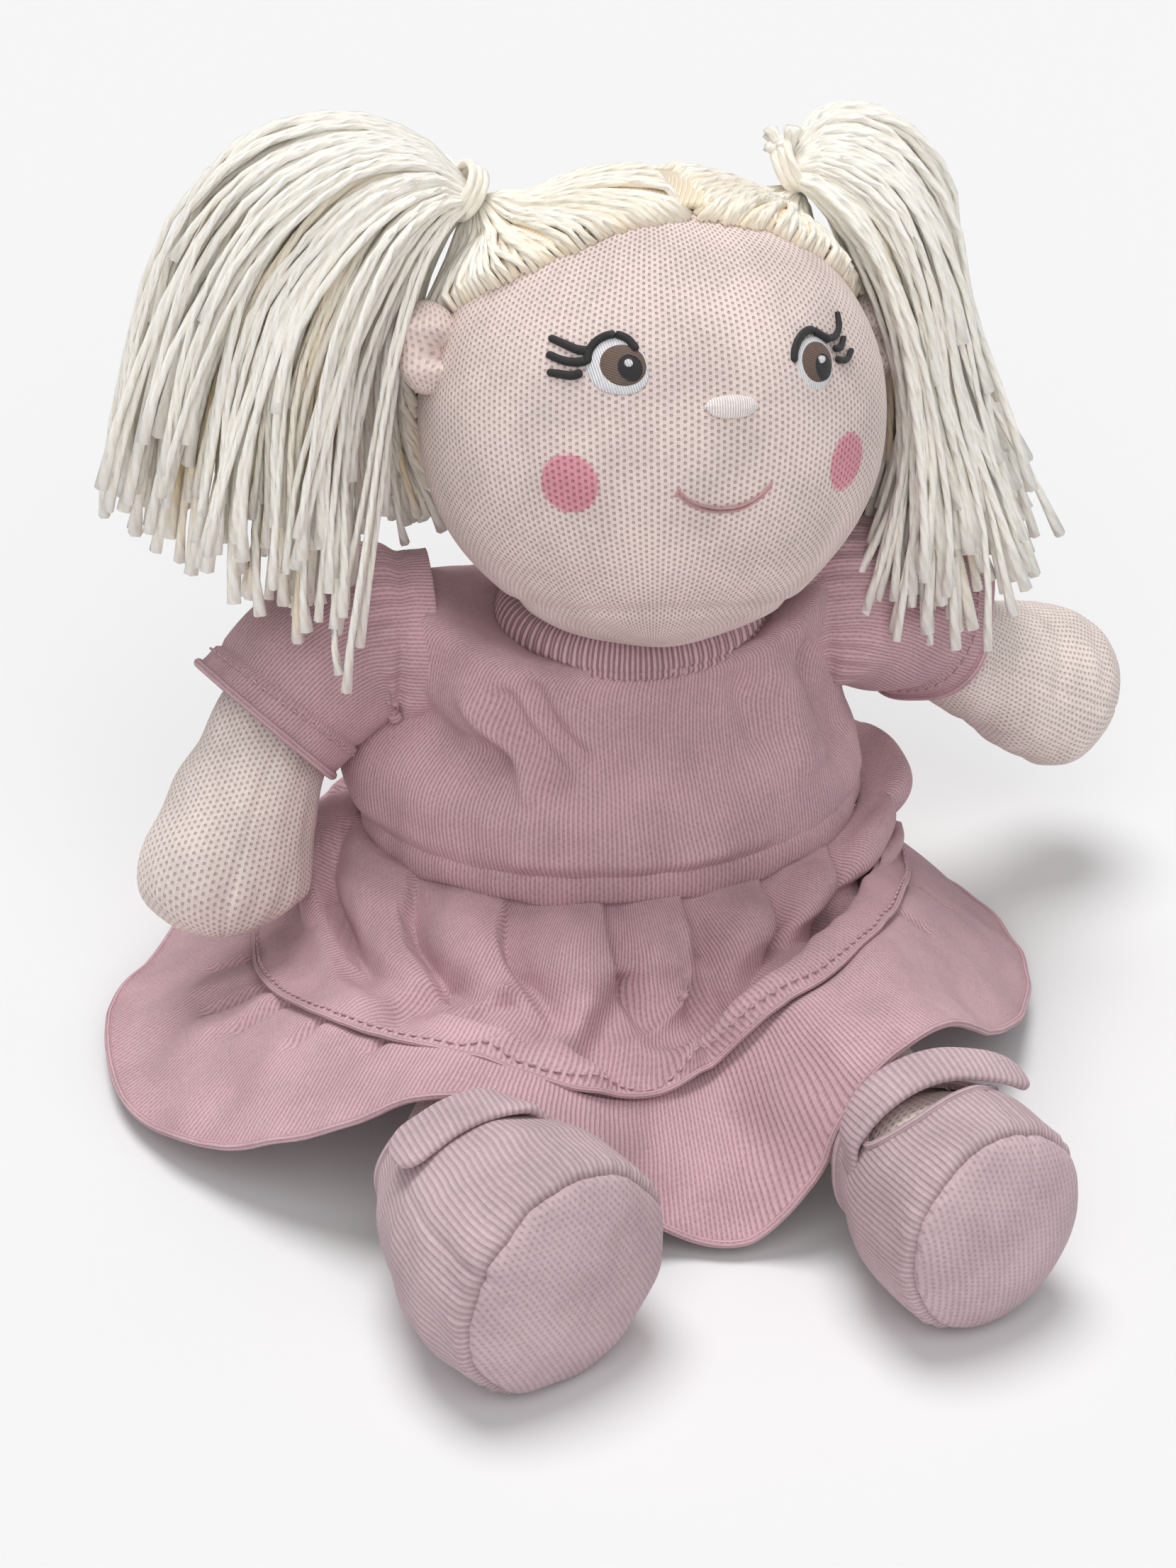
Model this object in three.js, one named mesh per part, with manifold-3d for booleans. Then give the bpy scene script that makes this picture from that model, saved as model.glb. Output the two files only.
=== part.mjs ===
// Musical doll: a seated soft doll with a knitted dress, yarn pigtails, shoes with straps and a wound
// musical movement in its back. Millimetres, +Z up. The doll looks towards -Y, its right hand is at -X.
// The origin is the middle of the flat seat.
import * as THREE from 'three';
import Module from 'manifold-3d';

const wasm = await Module();
wasm.setup();

// Clearances
const SEWN_GAP = 0.4;
const LAYER_GAP = 0.6;
const SLIDE_GAP = 0.3;
const SHAFT_GAP = 0.08;
const WELD = 1e-4;
const WELDED = 0.01;
const SOFT_DETAIL = 0.08;
const HARD_DETAIL = 0.002;

// Sizes of the doll
const KNIT = 1.7;
const HEAD_CENTRE = new THREE.Vector3(8.5, -12, 163.6);
const HEAD_RADII = new THREE.Vector3(57.5, 56.5, 57);
const HEAD_ROOM = 2.2;
const COLLAR_ROOM = 1.2;
const HEAD_TURN = THREE.MathUtils.degToRad(10);
const HEAD_TILT = THREE.MathUtils.degToRad(-22);
const HEAD_ROLL = THREE.MathUtils.degToRad(7);
const HAIR_THICKNESS = 6;
const GATHER_HEIGHT = 67;
const GATHER_RADIUS = 6;
const TIE_RADIUS = 6.9;
const TIE_THICKNESS = 1.5;
const SHOULDER_HEIGHT = 100;
const SHOULDER_DEPTH = 2;
const SHOULDER_RADIUS = 22.5;
const SHOULDER_REACH = 58;
const ARMHOLE_RADIUS = 19;
const WAIST_HEIGHT = 50;
const WAIST_BAND = 8;
const NECK_RADIUS = 20;
const NECK_FOOT = new THREE.Vector3(5, -7, 100);
const COLLAR_RADIUS = 28.5;
const HIP_HEIGHT = 22;
const HIP_FORWARD = -35;
const HIP_RADIUS = 18;
const SHOE_WALL = 1.9;
const STRAP_WIDTH = 12;
const STRAP_THICKNESS = 2;

// Sizes of the musical movement
const CASE_SIZE = new THREE.Vector3(50, 24, 42);
const CASE_MIDDLE = new THREE.Vector3(0, 11, 73);
const CASE_WALL = 1.8;
const LID_THICKNESS = 2;
const BED_THICKNESS = 2;
const SHAFT_RADIUS = 1.5;
const BARREL_RADIUS = 9;
const CYLINDER_RADIUS = 6.5;
const FLY_RADIUS = 4;
const KEY_GRIP = new THREE.Vector3(24, 2.4, 13);
const AXIS_SIDE = 9;
const SCREW_RADIUS = 1.1;
const SCREW_HEIGHT = 1.3;

// Colours taken from the photograph
const COLOURS = {
  face: 0xdec8bf,
  limb: 0xe1cdc3,
  hair: 0xece6d6,
  dress: 0xa67e86,
  shoe: 0xb898a0,
  sole: 0xbc9ca6,
  thread: 0x1c1a1c,
  white: 0xf2f0f0,
  iris: 0x60524b,
  nose: 0xe2d2cf,
  mouth: 0xcf9c9c,
  button: 0xcdb5b8,
  case: 0xe8e4dc,
  steel: 0xb9bcc0,
  brass: 0xc8a55a,
  zinc: 0x9a9c9e,
};

// A closed solid from a geometry whose equal corners are joined
function solidOf(geometry) {
  const source = geometry.index ? geometry.toNonIndexed() : geometry;
  const place = source.getAttribute('position');
  const known = new Map();
  const corners = [];
  const order = [];
  for (let i = 0; i < place.count; i += 1) {
    const point = [place.getX(i), place.getY(i), place.getZ(i)];
    const key = point.map((value) => Math.round(value / WELD)).join(' ');
    if (!known.has(key)) {
      known.set(key, corners.length / 3);
      corners.push(...point);
    }
    order.push(known.get(key));
  }
  const triangles = [];
  for (let i = 0; i < order.length; i += 3) {
    const [a, b, c] = order.slice(i, i + 3);
    if (a !== b && b !== c && a !== c) {
      triangles.push(a, b, c);
    }
  }
  return new wasm.Manifold(new wasm.Mesh({
    numProp: 3,
    vertProperties: new Float32Array(corners),
    triVerts: new Uint32Array(triangles),
  }));
}

function geometryOf(solid) {
  const mesh = solid.getMesh();
  const geometry = new THREE.BufferGeometry();
  const corners = new Float32Array(mesh.vertProperties);
  geometry.setAttribute('position', new THREE.BufferAttribute(corners, 3));
  geometry.setIndex(new THREE.BufferAttribute(new Uint32Array(mesh.triVerts), 1));
  return geometry;
}

// Rings of equal length joined to a closed solid; a ring of one point closes an end
function solidFromRings(rings) {
  const corners = [];
  const triangles = [];
  const starts = [];
  const push = (point) => {
    corners.push(point.x, point.y, point.z);
    return corners.length / 3 - 1;
  };
  for (const ring of rings) {
    starts.push(corners.length / 3);
    ring.forEach(push);
  }
  const join = (a, b, c) => triangles.push(a, b, c);
  for (let r = 0; r + 1 < rings.length; r += 1) {
    const count = Math.max(rings[r].length, rings[r + 1].length);
    for (let i = 0; i < count; i += 1) {
      const next = (i + 1) % count;
      const a = starts[r] + (rings[r].length === 1 ? 0 : i);
      const b = starts[r] + (rings[r].length === 1 ? 0 : next);
      const c = starts[r + 1] + (rings[r + 1].length === 1 ? 0 : i);
      const d = starts[r + 1] + (rings[r + 1].length === 1 ? 0 : next);
      if (a !== b) {
        join(a, b, d);
      }
      if (c !== d) {
        join(a, d, c);
      }
    }
  }
  const geometry = new THREE.BufferGeometry();
  geometry.setAttribute('position', new THREE.BufferAttribute(new Float32Array(corners), 3));
  geometry.setIndex(triangles);
  const solid = solidOf(geometry);
  if (solid.volume() > 0) {
    return solid;
  }
  geometry.setIndex(triangles.reverse());
  return solidOf(geometry);
}

// A value that changes smoothly through the listed ones, asked at a share of the way
function smoothValue(values, share) {
  const steps = values.length - 1;
  const at = THREE.MathUtils.clamp(share * steps, 0, steps);
  const k = Math.min(Math.floor(at), steps - 1);
  const t = at - k;
  const p0 = values[Math.max(k - 1, 0)];
  const p1 = values[k];
  const p2 = values[k + 1];
  const p3 = values[Math.min(k + 2, steps)];
  const rise1 = (p2 - p0) / 2;
  const rise2 = (p3 - p1) / 2;
  const t2 = t * t;
  const t3 = t2 * t;
  return (2 * t3 - 3 * t2 + 1) * p1 + (t3 - 2 * t2 + t) * rise1
    + (3 * t2 - 2 * t3) * p2 + (t3 - t2) * rise2;
}

// A stuffed form: an oval section that swells and tapers along a curved line, with rounded or flat ends.
// widths go along the side direction, heights across it; grow moves the whole skin outwards.
function stuffedForm({
  line, widths, heights, side, startCap = 0, endCap = 0, grow = 0, stations = 7, around = 16,
}) {
  const curve = new THREE.CatmullRomCurve3(line, false, 'centripetal');
  const length = curve.getLength();
  const capSteps = 3;
  const places = [];
  const startLength = startCap > 0 ? startCap + grow : 0;
  const endLength = endCap > 0 ? endCap + grow : 0;
  const whole = length + (startCap > 0 ? grow : 0) + (endCap > 0 ? grow : 0);
  for (let i = 0; i < capSteps && startLength > 0; i += 1) {
    places.push(startLength * (1 - Math.cos((i / capSteps) * Math.PI / 2)));
  }
  for (let i = 0; i <= stations; i += 1) {
    places.push(startLength + (whole - startLength - endLength) * (i / stations));
  }
  for (let i = capSteps - 1; i >= 0 && endLength > 0; i -= 1) {
    places.push(whole - endLength * (1 - Math.cos((i / capSteps) * Math.PI / 2)));
  }
  const rings = [];
  for (const place of places) {
    const along = place - (startCap > 0 ? grow : 0);
    const share = THREE.MathUtils.clamp(along / length, 0, 1);
    const t = curve.getUtoTmapping(share);
    const tangent = curve.getTangent(t);
    const middle = curve.getPoint(t).addScaledVector(tangent, along - share * length);
    let factor = 1;
    if (place < startLength) {
      factor = Math.sqrt(1 - (1 - place / startLength) ** 2);
    } else if (whole - place < endLength) {
      factor = Math.sqrt(1 - (1 - (whole - place) / endLength) ** 2);
    }
    const wide = side.clone().addScaledVector(tangent, -side.dot(tangent)).normalize();
    const high = new THREE.Vector3().crossVectors(tangent, wide);
    const w = (smoothValue(widths, t) + grow) * factor;
    const h = (smoothValue(heights, t) + grow) * factor;
    if (factor === 0) {
      rings.push([middle]);
      continue;
    }
    const ring = [];
    for (let i = 0; i < around; i += 1) {
      const angle = (i / around) * Math.PI * 2;
      ring.push(middle.clone().addScaledVector(wide, w * Math.cos(angle))
        .addScaledVector(high, h * Math.sin(angle)));
    }
    if (rings.length === 0) {
      rings.push([middle]);
    }
    rings.push(ring);
  }
  if (rings[rings.length - 1].length > 1) {
    const last = rings[rings.length - 1];
    const middle = last.reduce((sum, point) => sum.add(point), new THREE.Vector3());
    rings.push([middle.divideScalar(last.length)]);
  }
  return solidFromRings(rings);
}

const vec = (x, y, z) => new THREE.Vector3(x, y, z);

function box(size, middle, turn = null) {
  const geometry = new THREE.BoxGeometry(size.x, size.y, size.z);
  if (turn) {
    geometry.applyMatrix4(turn);
  }
  geometry.translate(middle.x, middle.y, middle.z);
  return solidOf(geometry);
}

// A round bar along a direction, from one point on
function bar(radius, length, from, direction, endRadius = radius, sides = 24) {
  const geometry = new THREE.CylinderGeometry(endRadius, radius, length, sides);
  geometry.translate(0, length / 2, 0);
  const turn = new THREE.Quaternion().setFromUnitVectors(vec(0, 1, 0), direction.clone().normalize());
  geometry.applyQuaternion(turn);
  geometry.translate(from.x, from.y, from.z);
  return solidOf(geometry);
}

function ball(radii, middle, across = 24, down = 16, turn = null) {
  const geometry = new THREE.SphereGeometry(1, across, down);
  geometry.scale(radii.x, radii.y, radii.z);
  if (turn) {
    geometry.applyMatrix4(turn);
  }
  geometry.translate(middle.x, middle.y, middle.z);
  return solidOf(geometry);
}

function ring(radius, tube, middle, direction, sides = 16, tubeSides = 6) {
  const geometry = new THREE.TorusGeometry(radius, tube, tubeSides, sides);
  const turn = new THREE.Quaternion().setFromUnitVectors(vec(0, 0, 1), direction.clone().normalize());
  geometry.applyQuaternion(turn);
  geometry.translate(middle.x, middle.y, middle.z);
  return solidOf(geometry);
}

// The part of a solid on the side of a plane that its normal points to
function cutBy(solid, point, normal, size = 400) {
  const n = normal.clone().normalize();
  const turn = new THREE.Matrix4().makeRotationFromQuaternion(
    new THREE.Quaternion().setFromUnitVectors(vec(0, 0, 1), n),
  );
  const middle = point.clone().addScaledVector(n, size / 2);
  return solid.intersect(box(vec(size, size, size), middle, turn));
}

// The largest closed piece of a solid; crumbs left by a cut are dropped
function largest(solid) {
  return solid.decompose().reduce((best, piece) => (piece.volume() > best.volume() ? piece : best));
}

const doll = new THREE.Group();
doll.name = 'musical_doll';
const groups = {};

// A group at a joint's pivot, so that its pieces turn about its own origin
function bodyGroup(name, pivot, parent = null) {
  const group = new THREE.Group();
  group.name = `${name}_body`;
  group.userData.pivot = pivot;
  const base = parent ? groups[parent].userData.pivot : vec(0, 0, 0);
  group.position.copy(pivot).sub(base);
  (parent ? groups[parent] : doll).add(group);
  groups[name] = group;
}

const SOFT_ROUGHNESS = 0.9;

function piece(body, name, solid, colour, roughness = SOFT_ROUGHNESS, metalness = 0) {
  const detail = roughness >= SOFT_ROUGHNESS ? SOFT_DETAIL : HARD_DETAIL;
  const geometry = geometryOf(largest(solid.simplify(detail)));
  const pivot = groups[body].userData.pivot;
  geometry.translate(-pivot.x, -pivot.y, -pivot.z);
  const material = new THREE.MeshStandardMaterial({ color: colour, roughness, metalness });
  const mesh = new THREE.Mesh(geometry, material);
  mesh.name = name;
  groups[body].add(mesh);
}

// Sides: the doll's right is -1, its left is +1
const SIDES = [
  { name: 'right', sign: -1 },
  { name: 'left', sign: 1 },
];

// Head space: local -Y is the way the face looks
const headMatrix = new THREE.Matrix4()
  .makeRotationZ(HEAD_TURN)
  .multiply(new THREE.Matrix4().makeRotationX(HEAD_TILT))
  .multiply(new THREE.Matrix4().makeRotationY(HEAD_ROLL))
  .setPosition(HEAD_CENTRE);
const onHead = (x, y, z) => vec(x, y, z).applyMatrix4(headMatrix);

function headForm(grow, across = 24, down = 16) {
  const geometry = new THREE.SphereGeometry(1, across, down);
  geometry.rotateX(Math.PI / 2);
  geometry.scale(HEAD_RADII.x + grow, HEAD_RADII.y + grow, HEAD_RADII.z + grow);
  geometry.applyMatrix4(headMatrix);
  return solidOf(geometry);
}

// An outline drawn on the face, pushed through the head's skin and kept between two heights above it
function facePatch(outline, low, high) {
  const geometry = new THREE.ExtrudeGeometry(outline, { depth: 90, bevelEnabled: false, curveSegments: 8 });
  geometry.rotateX(Math.PI / 2);
  geometry.applyMatrix4(headMatrix);
  return solidOf(geometry).intersect(headForm(high)).subtract(headForm(low));
}

const shoulderPoint = (sign, reach) => vec(sign * reach, SHOULDER_DEPTH, SHOULDER_HEIGHT);

// Body, bodice and shoulders
const BODY_LINE = [
  vec(0, -4, -6),
  vec(0, -5, 22),
  vec(0, -5, WAIST_HEIGHT),
  vec(0, -4, 76),
  vec(0, -3, 92),
  vec(0, -3, 101),
  vec(0, -3, 105),
];
const BODY_WIDTHS = [50, 60, 62.5, 61, 55, 46, 38];
const BODY_HEIGHTS = [38, 45, 47, 44, 38, 32.5, 27];

function bodyForm(grow) {
  const trunk = stuffedForm({
    line: BODY_LINE,
    widths: BODY_WIDTHS,
    heights: BODY_HEIGHTS,
    side: vec(1, 0, 0),
    startCap: 14,
    endCap: 5,
    grow,
    stations: 6,
    around: 20,
  });
  const inner = 26;
  return SIDES.reduce((whole, { sign }) => whole.add(bar(
    SHOULDER_RADIUS / 2 + grow,
    SHOULDER_REACH + grow - inner,
    shoulderPoint(sign, inner),
    vec(sign, 0, 0),
    SHOULDER_RADIUS + grow,
    18,
  )).subtract(bar(
    SHOULDER_RADIUS + 1 - grow,
    40,
    shoulderPoint(sign, SHOULDER_REACH + grow),
    vec(sign, 0, 0),
    SHOULDER_RADIUS + 1 - grow,
    18,
  )), trunk);
}

const hipPoint = (sign) => vec(sign * 28, HIP_FORWARD, HIP_HEIGHT);

// Each leg: the way it points, how far its foot rolls over, its foot's line as places along and across,
// and the hem that its strap folds back on, across and above the ankle
const LEGS = {
  right: {
    side: -1,
    yaw: THREE.MathUtils.degToRad(-17),
    roll: THREE.MathUtils.degToRad(22),
    foot: [[104, 0], [123, 10], [141, 29]],
    strapFold: [32.9, 13],
  },
  left: {
    side: 1,
    yaw: THREE.MathUtils.degToRad(11),
    roll: THREE.MathUtils.degToRad(8),
    foot: [[104, 0], [124, 1], [147, 6]],
    strapFold: [-23.9, 2.5],
  },
};
const LEG_RADIUS = 17;
const FOOT_RISE = 27.6;
const SOLE_DEPTH = 5;

// The way a leg points, and the direction across it in which its hip turns
const legDirection = (leg) => vec(Math.sin(leg.yaw), -Math.cos(leg.yaw), 0);
const legAcross = (leg) => vec(Math.cos(leg.yaw), Math.sin(leg.yaw), 0);

// A place inside a leg: so far along it, so far across it and so high
function inLeg(name, along, across, height) {
  const leg = LEGS[name];
  const hip = hipPoint(leg.side);
  return vec(hip.x, hip.y, height)
    .addScaledVector(legDirection(leg), along)
    .addScaledVector(legAcross(leg), across);
}

// The foot's own directions: the way its sole faces, and its toes' way up
function footWays(name) {
  const [, middle, end] = LEGS[name].foot;
  const facing = inLeg(name, ...end, 0).sub(inLeg(name, ...middle, 0)).normalize();
  const toes = vec(0, 0, 1).applyAxisAngle(facing, LEGS[name].roll);
  return { facing, toes };
}

function legForm(name, grow) {
  const { foot } = LEGS[name];
  const line = [
    inLeg(name, -12, 0, HIP_HEIGHT),
    inLeg(name, 20, 0, HIP_HEIGHT + 1),
    inLeg(name, 64, 0, 24),
    inLeg(name, ...foot[0], 26),
    inLeg(name, ...foot[1], FOOT_RISE),
    inLeg(name, ...foot[2], FOOT_RISE),
  ];
  return stuffedForm({
    line,
    widths: [LEG_RADIUS, LEG_RADIUS + 1, LEG_RADIUS, LEG_RADIUS + 0.5, 23, 23],
    heights: [LEG_RADIUS, LEG_RADIUS + 1, LEG_RADIUS, LEG_RADIUS + 1, 25.5, 26],
    side: legAcross(LEGS[name]).applyAxisAngle(legDirection(LEGS[name]), LEGS[name].roll),
    startCap: 9,
    endCap: 9,
    grow,
  });
}

// Torso, with a pocket for the movement, and the neck
bodyGroup('torso', vec(0, 0, 0));
const shaftLine = vec(CASE_MIDDLE.x - AXIS_SIDE, 0, CASE_MIDDLE.z);
const pocket = box(
  CASE_SIZE.clone().addScalar(2 * SEWN_GAP),
  CASE_MIDDLE,
);
const keyHole = (radius) => bar(radius, 60, vec(shaftLine.x, 10, shaftLine.z), vec(0, 1, 0));

let torso = bodyForm(-KNIT - LAYER_GAP);
for (const { name, sign } of SIDES) {
  const hip = hipPoint(sign);
  const across = legAcross(LEGS[name]);
  torso = torso.subtract(bar(
    HIP_RADIUS + 1,
    40,
    hip.clone().addScaledVector(across, -20),
    across,
  ));
  const sweep = vec(2 * HIP_RADIUS + 2, 80, HIP_HEIGHT + 10);
  const sweepMiddle = inLeg(name, 40 - HIP_RADIUS - 1, 0, HIP_HEIGHT - sweep.z / 2);
  const legTurn = new THREE.Matrix4().makeRotationZ(LEGS[name].yaw);
  torso = torso.subtract(legForm(name, 1)).subtract(box(sweep, sweepMiddle, legTurn));
}
torso = cutBy(torso, vec(0, 0, 0), vec(0, 0, 1));
torso = torso.subtract(headForm(HEAD_ROOM)).subtract(pocket).subtract(keyHole(5));
piece('torso', 'torso', torso, COLOURS.limb);

bodyGroup('neck', NECK_FOOT, 'torso');
const neckPost = bar(NECK_RADIUS, 26, NECK_FOOT, vec(0, 0, 1));
const neck = neckPost.subtract(headForm(SEWN_GAP)).subtract(bodyForm(SEWN_GAP - KNIT - LAYER_GAP));
piece('neck', 'neck', neck, COLOURS.face);

// Collar: a ribbed ring that stands on the bodice under the chin
const collarProfile = [
  new THREE.Vector2(COLLAR_RADIUS - 3, 92),
  new THREE.Vector2(COLLAR_RADIUS, 92),
  new THREE.Vector2(COLLAR_RADIUS + 0.6, 104),
  new THREE.Vector2(COLLAR_RADIUS, 116.5),
  new THREE.Vector2(COLLAR_RADIUS - 1.6, 117.5),
  new THREE.Vector2(COLLAR_RADIUS - 3, 116.5),
  new THREE.Vector2(COLLAR_RADIUS - 3, 92),
];
const collarRing = new THREE.LatheGeometry(collarProfile, 24);
collarRing.rotateX(Math.PI / 2);
collarRing.translate(NECK_FOOT.x, NECK_FOOT.y, 0);
const collar = solidOf(collarRing).subtract(headForm(COLLAR_ROOM)).subtract(bodyForm(SLIDE_GAP));
piece('torso', 'collar', collar, COLOURS.dress);

// Bodice with its neck opening, armholes and the opening for the key
const waistTop = WAIST_HEIGHT + WAIST_BAND;
let bodice = bodyForm(0).subtract(bodyForm(-KNIT));
bodice = cutBy(bodice, vec(0, 0, waistTop + SEWN_GAP), vec(0, 0, 1));
bodice = bodice.subtract(bar(NECK_RADIUS + 2, 60, NECK_FOOT.clone().setZ(90), vec(0, 0, 1)));
bodice = bodice.subtract(headForm(HEAD_ROOM)).subtract(keyHole(5));
for (const { sign } of SIDES) {
  const armhole = shoulderPoint(sign, SHOULDER_REACH - 2 * KNIT);
  bodice = bodice.subtract(bar(ARMHOLE_RADIUS, 60, armhole, vec(sign, 0, 0)));
}
piece('torso', 'bodice', bodice, COLOURS.dress);

// Waist band: the folded hem between bodice and skirt
let band = bodyForm(1.6).subtract(bodyForm(-KNIT));
band = cutBy(band, vec(0, 0, waistTop), vec(0, 0, -1));
band = cutBy(band, vec(0, 0, WAIST_HEIGHT), vec(0, 0, 1));
piece('torso', 'waist_band', band, COLOURS.dress);

// Skirt: both tiers are rings of cloth given along spokes that start at the doll's back and go round by
// its right side, front and left side. Each spoke: seam reach and height, hem reach and height.
const SKIRT_ANGLES = [
  -180, -155, -130, -105, -82, -65, -50, -38, -28, -19, -12, -5, 4, 10, 15, 22, 30, 40, 55, 72, 94, 118, 148,
];
const SKIRT_SPOKES = [
  [76, 26, 99, 2.5],
  [82, 26, 108, 3],
  [92, 25, 124, 3],
  [96, 22, 138, 4],
  [97, 20, 145, 6],
  [104, 30, 144, 9],
  [110, 41, 139, 18],
  [113, 47, 136, 38],
  [114, 48, 131, 47],
  [119, 47, 132, 46],
  [117, 40, 135, 34],
  [111, 33, 133, 9],
  [104, 31, 138, 4],
  [106, 42, 141, 22],
  [106, 47, 139, 45],
  [104, 49, 136, 49],
  [100, 49, 131, 44],
  [95, 46, 123, 27],
  [87, 41, 117, 11],
  [82, 32, 112, 7],
  [78, 28, 98, 4],
  [74, 27, 93, 3],
  [74, 26, 94, 2.5],
];
const WAIST_RADII = new THREE.Vector2(63.4, 47.9);
const SKIRT_AROUND = 72;
const PLEATS = 18;

// The spoke values at an angle in degrees, smooth all the way round
function spokeAt(angle) {
  const count = SKIRT_ANGLES.length;
  let k = 0;
  while (k + 1 < count && SKIRT_ANGLES[k + 1] <= angle) {
    k += 1;
  }
  const start = SKIRT_ANGLES[k];
  const stop = k + 1 < count ? SKIRT_ANGLES[k + 1] : 180;
  const share = (angle - start) / (stop - start);
  const spoke = (n) => SKIRT_SPOKES[(n + count) % count];
  return SKIRT_SPOKES[0].map((_, column) => smoothValue(
    [spoke(k - 1)[column], spoke(k)[column], spoke(k + 1)[column], spoke(k + 2)[column]],
    (1 + share) / 3,
  ));
}

// A point of the skirt's outer face: down goes 0 to 1 over the upper tier and 1 to 2 over the flounce
function skirtPoint(angle, down) {
  const [seamReach, seamHeight, hemReach, hemHeight] = spokeAt(angle);
  const radians = THREE.MathUtils.degToRad(angle);
  const out = vec(Math.sin(radians), -Math.cos(radians), 0);
  const waistReach = 1 / Math.hypot(out.x / WAIST_RADII.x, out.y / WAIST_RADII.y);
  const waistMiddle = vec(0, BODY_LINE[2].y, 0);
  let reach;
  let height;
  if (down <= 1) {
    const lap = THREE.MathUtils.clamp((seamHeight - 24) / 30, 0, 1);
    const swell = Math.sin(down * Math.PI) * 3 * lap;
    reach = THREE.MathUtils.lerp(waistReach, seamReach, down ** 0.85);
    const fall = THREE.MathUtils.lerp(0.7, 1.25, lap);
    height = THREE.MathUtils.lerp(WAIST_HEIGHT - 0.6, seamHeight, down ** fall) + swell;
    const pleat = ((((angle + 4) / 360) * PLEATS) % 1 + 1) % 1;
    const depth = pleat < 0.8 ? pleat / 0.8 : (1 - pleat) / 0.2;
    reach += (depth - 1) * 3 * Math.sin(Math.min(down * 2 + 0.25, 1.57)) * (1 - 0.7 * down);
  } else {
    const share = down - 1;
    reach = THREE.MathUtils.lerp(seamReach + 1.2, hemReach, share);
    height = THREE.MathUtils.lerp(seamHeight, hemHeight, share ** 1.1);
    const flute = Math.sin(THREE.MathUtils.degToRad(angle) * 15 + 1) * 2.2 * share;
    reach += flute;
  }
  return out.multiplyScalar(reach).addScaledVector(waistMiddle, 1 - Math.min(down, 1))
    .setZ(height);
}

// A ring of cloth between two places down the skirt, with the cloth's thickness on its inner side
function skirtTier(from, to, rows) {
  const outer = [];
  for (let r = 0; r <= rows; r += 1) {
    const down = from + ((to - from) * r) / rows;
    const loop = [];
    for (let i = 0; i < SKIRT_AROUND; i += 1) {
      loop.push(skirtPoint(-180 + (360 * i) / SKIRT_AROUND, down));
    }
    outer.push(loop);
  }
  const inner = outer.map((loop, r) => loop.map((point, i) => {
    const before = loop[(i + SKIRT_AROUND - 1) % SKIRT_AROUND];
    const after = loop[(i + 1) % SKIRT_AROUND];
    const above = outer[Math.max(r - 1, 0)][i];
    const below = outer[Math.min(r + 1, rows)][i];
    const normal = new THREE.Vector3().crossVectors(after.clone().sub(before), below.clone().sub(above));
    normal.normalize();
    if (normal.z < 0) {
      normal.negate();
    }
    return point.clone().addScaledVector(normal, -KNIT);
  }));
  const rings = [...outer, ...inner.reverse()];
  rings.push(rings[0]);
  return solidFromRings(rings);
}

let upperTier = skirtTier(0, 0.985, 4);
let flounce = skirtTier(1.015, 2, 3);
const floor = vec(0, 0, 0.6);
upperTier = upperTier.subtract(bodyForm(1.6).intersect(box(vec(200, 200, 12), vec(0, 0, waistTop))));
for (const name of ['right', 'left']) {
  upperTier = upperTier.subtract(legForm(name, LAYER_GAP));
}

// Shoes and straps
const shoes = {};
for (const { name } of SIDES) {
  const leg = LEGS[name];
  const along = legDirection(leg);
  const { facing, toes } = footWays(name);
  const ankle = inLeg(name, ...leg.foot[0], FOOT_RISE);
  const outside = legForm(name, SLIDE_GAP + SHOE_WALL);
  let shell = outside.subtract(legForm(name, SLIDE_GAP));
  shell = cutBy(shell, ankle.clone().addScaledVector(along, 2), along);
  shell = cutBy(shell, vec(0, 0, 0), vec(0, 0, 1));
  const slot = box(
    vec(80, 12, 30),
    ankle.clone().addScaledVector(along, 9).addScaledVector(toes, 33),
    new THREE.Matrix4().makeBasis(legAcross(leg), along.clone().negate(), vec(0, 0, 1)),
  );
  const end = inLeg(name, ...leg.foot[2], FOOT_RISE).addScaledVector(facing, -SOLE_DEPTH);
  const sole = cutBy(shell, end, facing);
  const upper = cutBy(shell, end.clone().addScaledVector(facing, -SEWN_GAP), facing.clone().negate())
    .subtract(slot);
  const under = SLIDE_GAP + SHOE_WALL + SLIDE_GAP;
  let strap = legForm(name, under + STRAP_THICKNESS).subtract(legForm(name, under));
  strap = cutBy(strap, ankle.clone().addScaledVector(along, 3), along);
  strap = cutBy(strap, ankle.clone().addScaledVector(along, 3 + STRAP_WIDTH), along.clone().negate());
  strap = cutBy(strap, ankle.clone().addScaledVector(toes, 6), toes);
  shoes[name] = { upper, sole, strap, ankle, along };
}

bodyGroup('head', vec(HEAD_CENTRE.x, HEAD_CENTRE.y, 112), 'neck');
for (const { name, sign } of SIDES) {
  bodyGroup(`arm_${name}`, shoulderPoint(sign, SHOULDER_REACH), 'torso');
  bodyGroup(`leg_${name}`, hipPoint(sign), 'torso');
}

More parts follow.
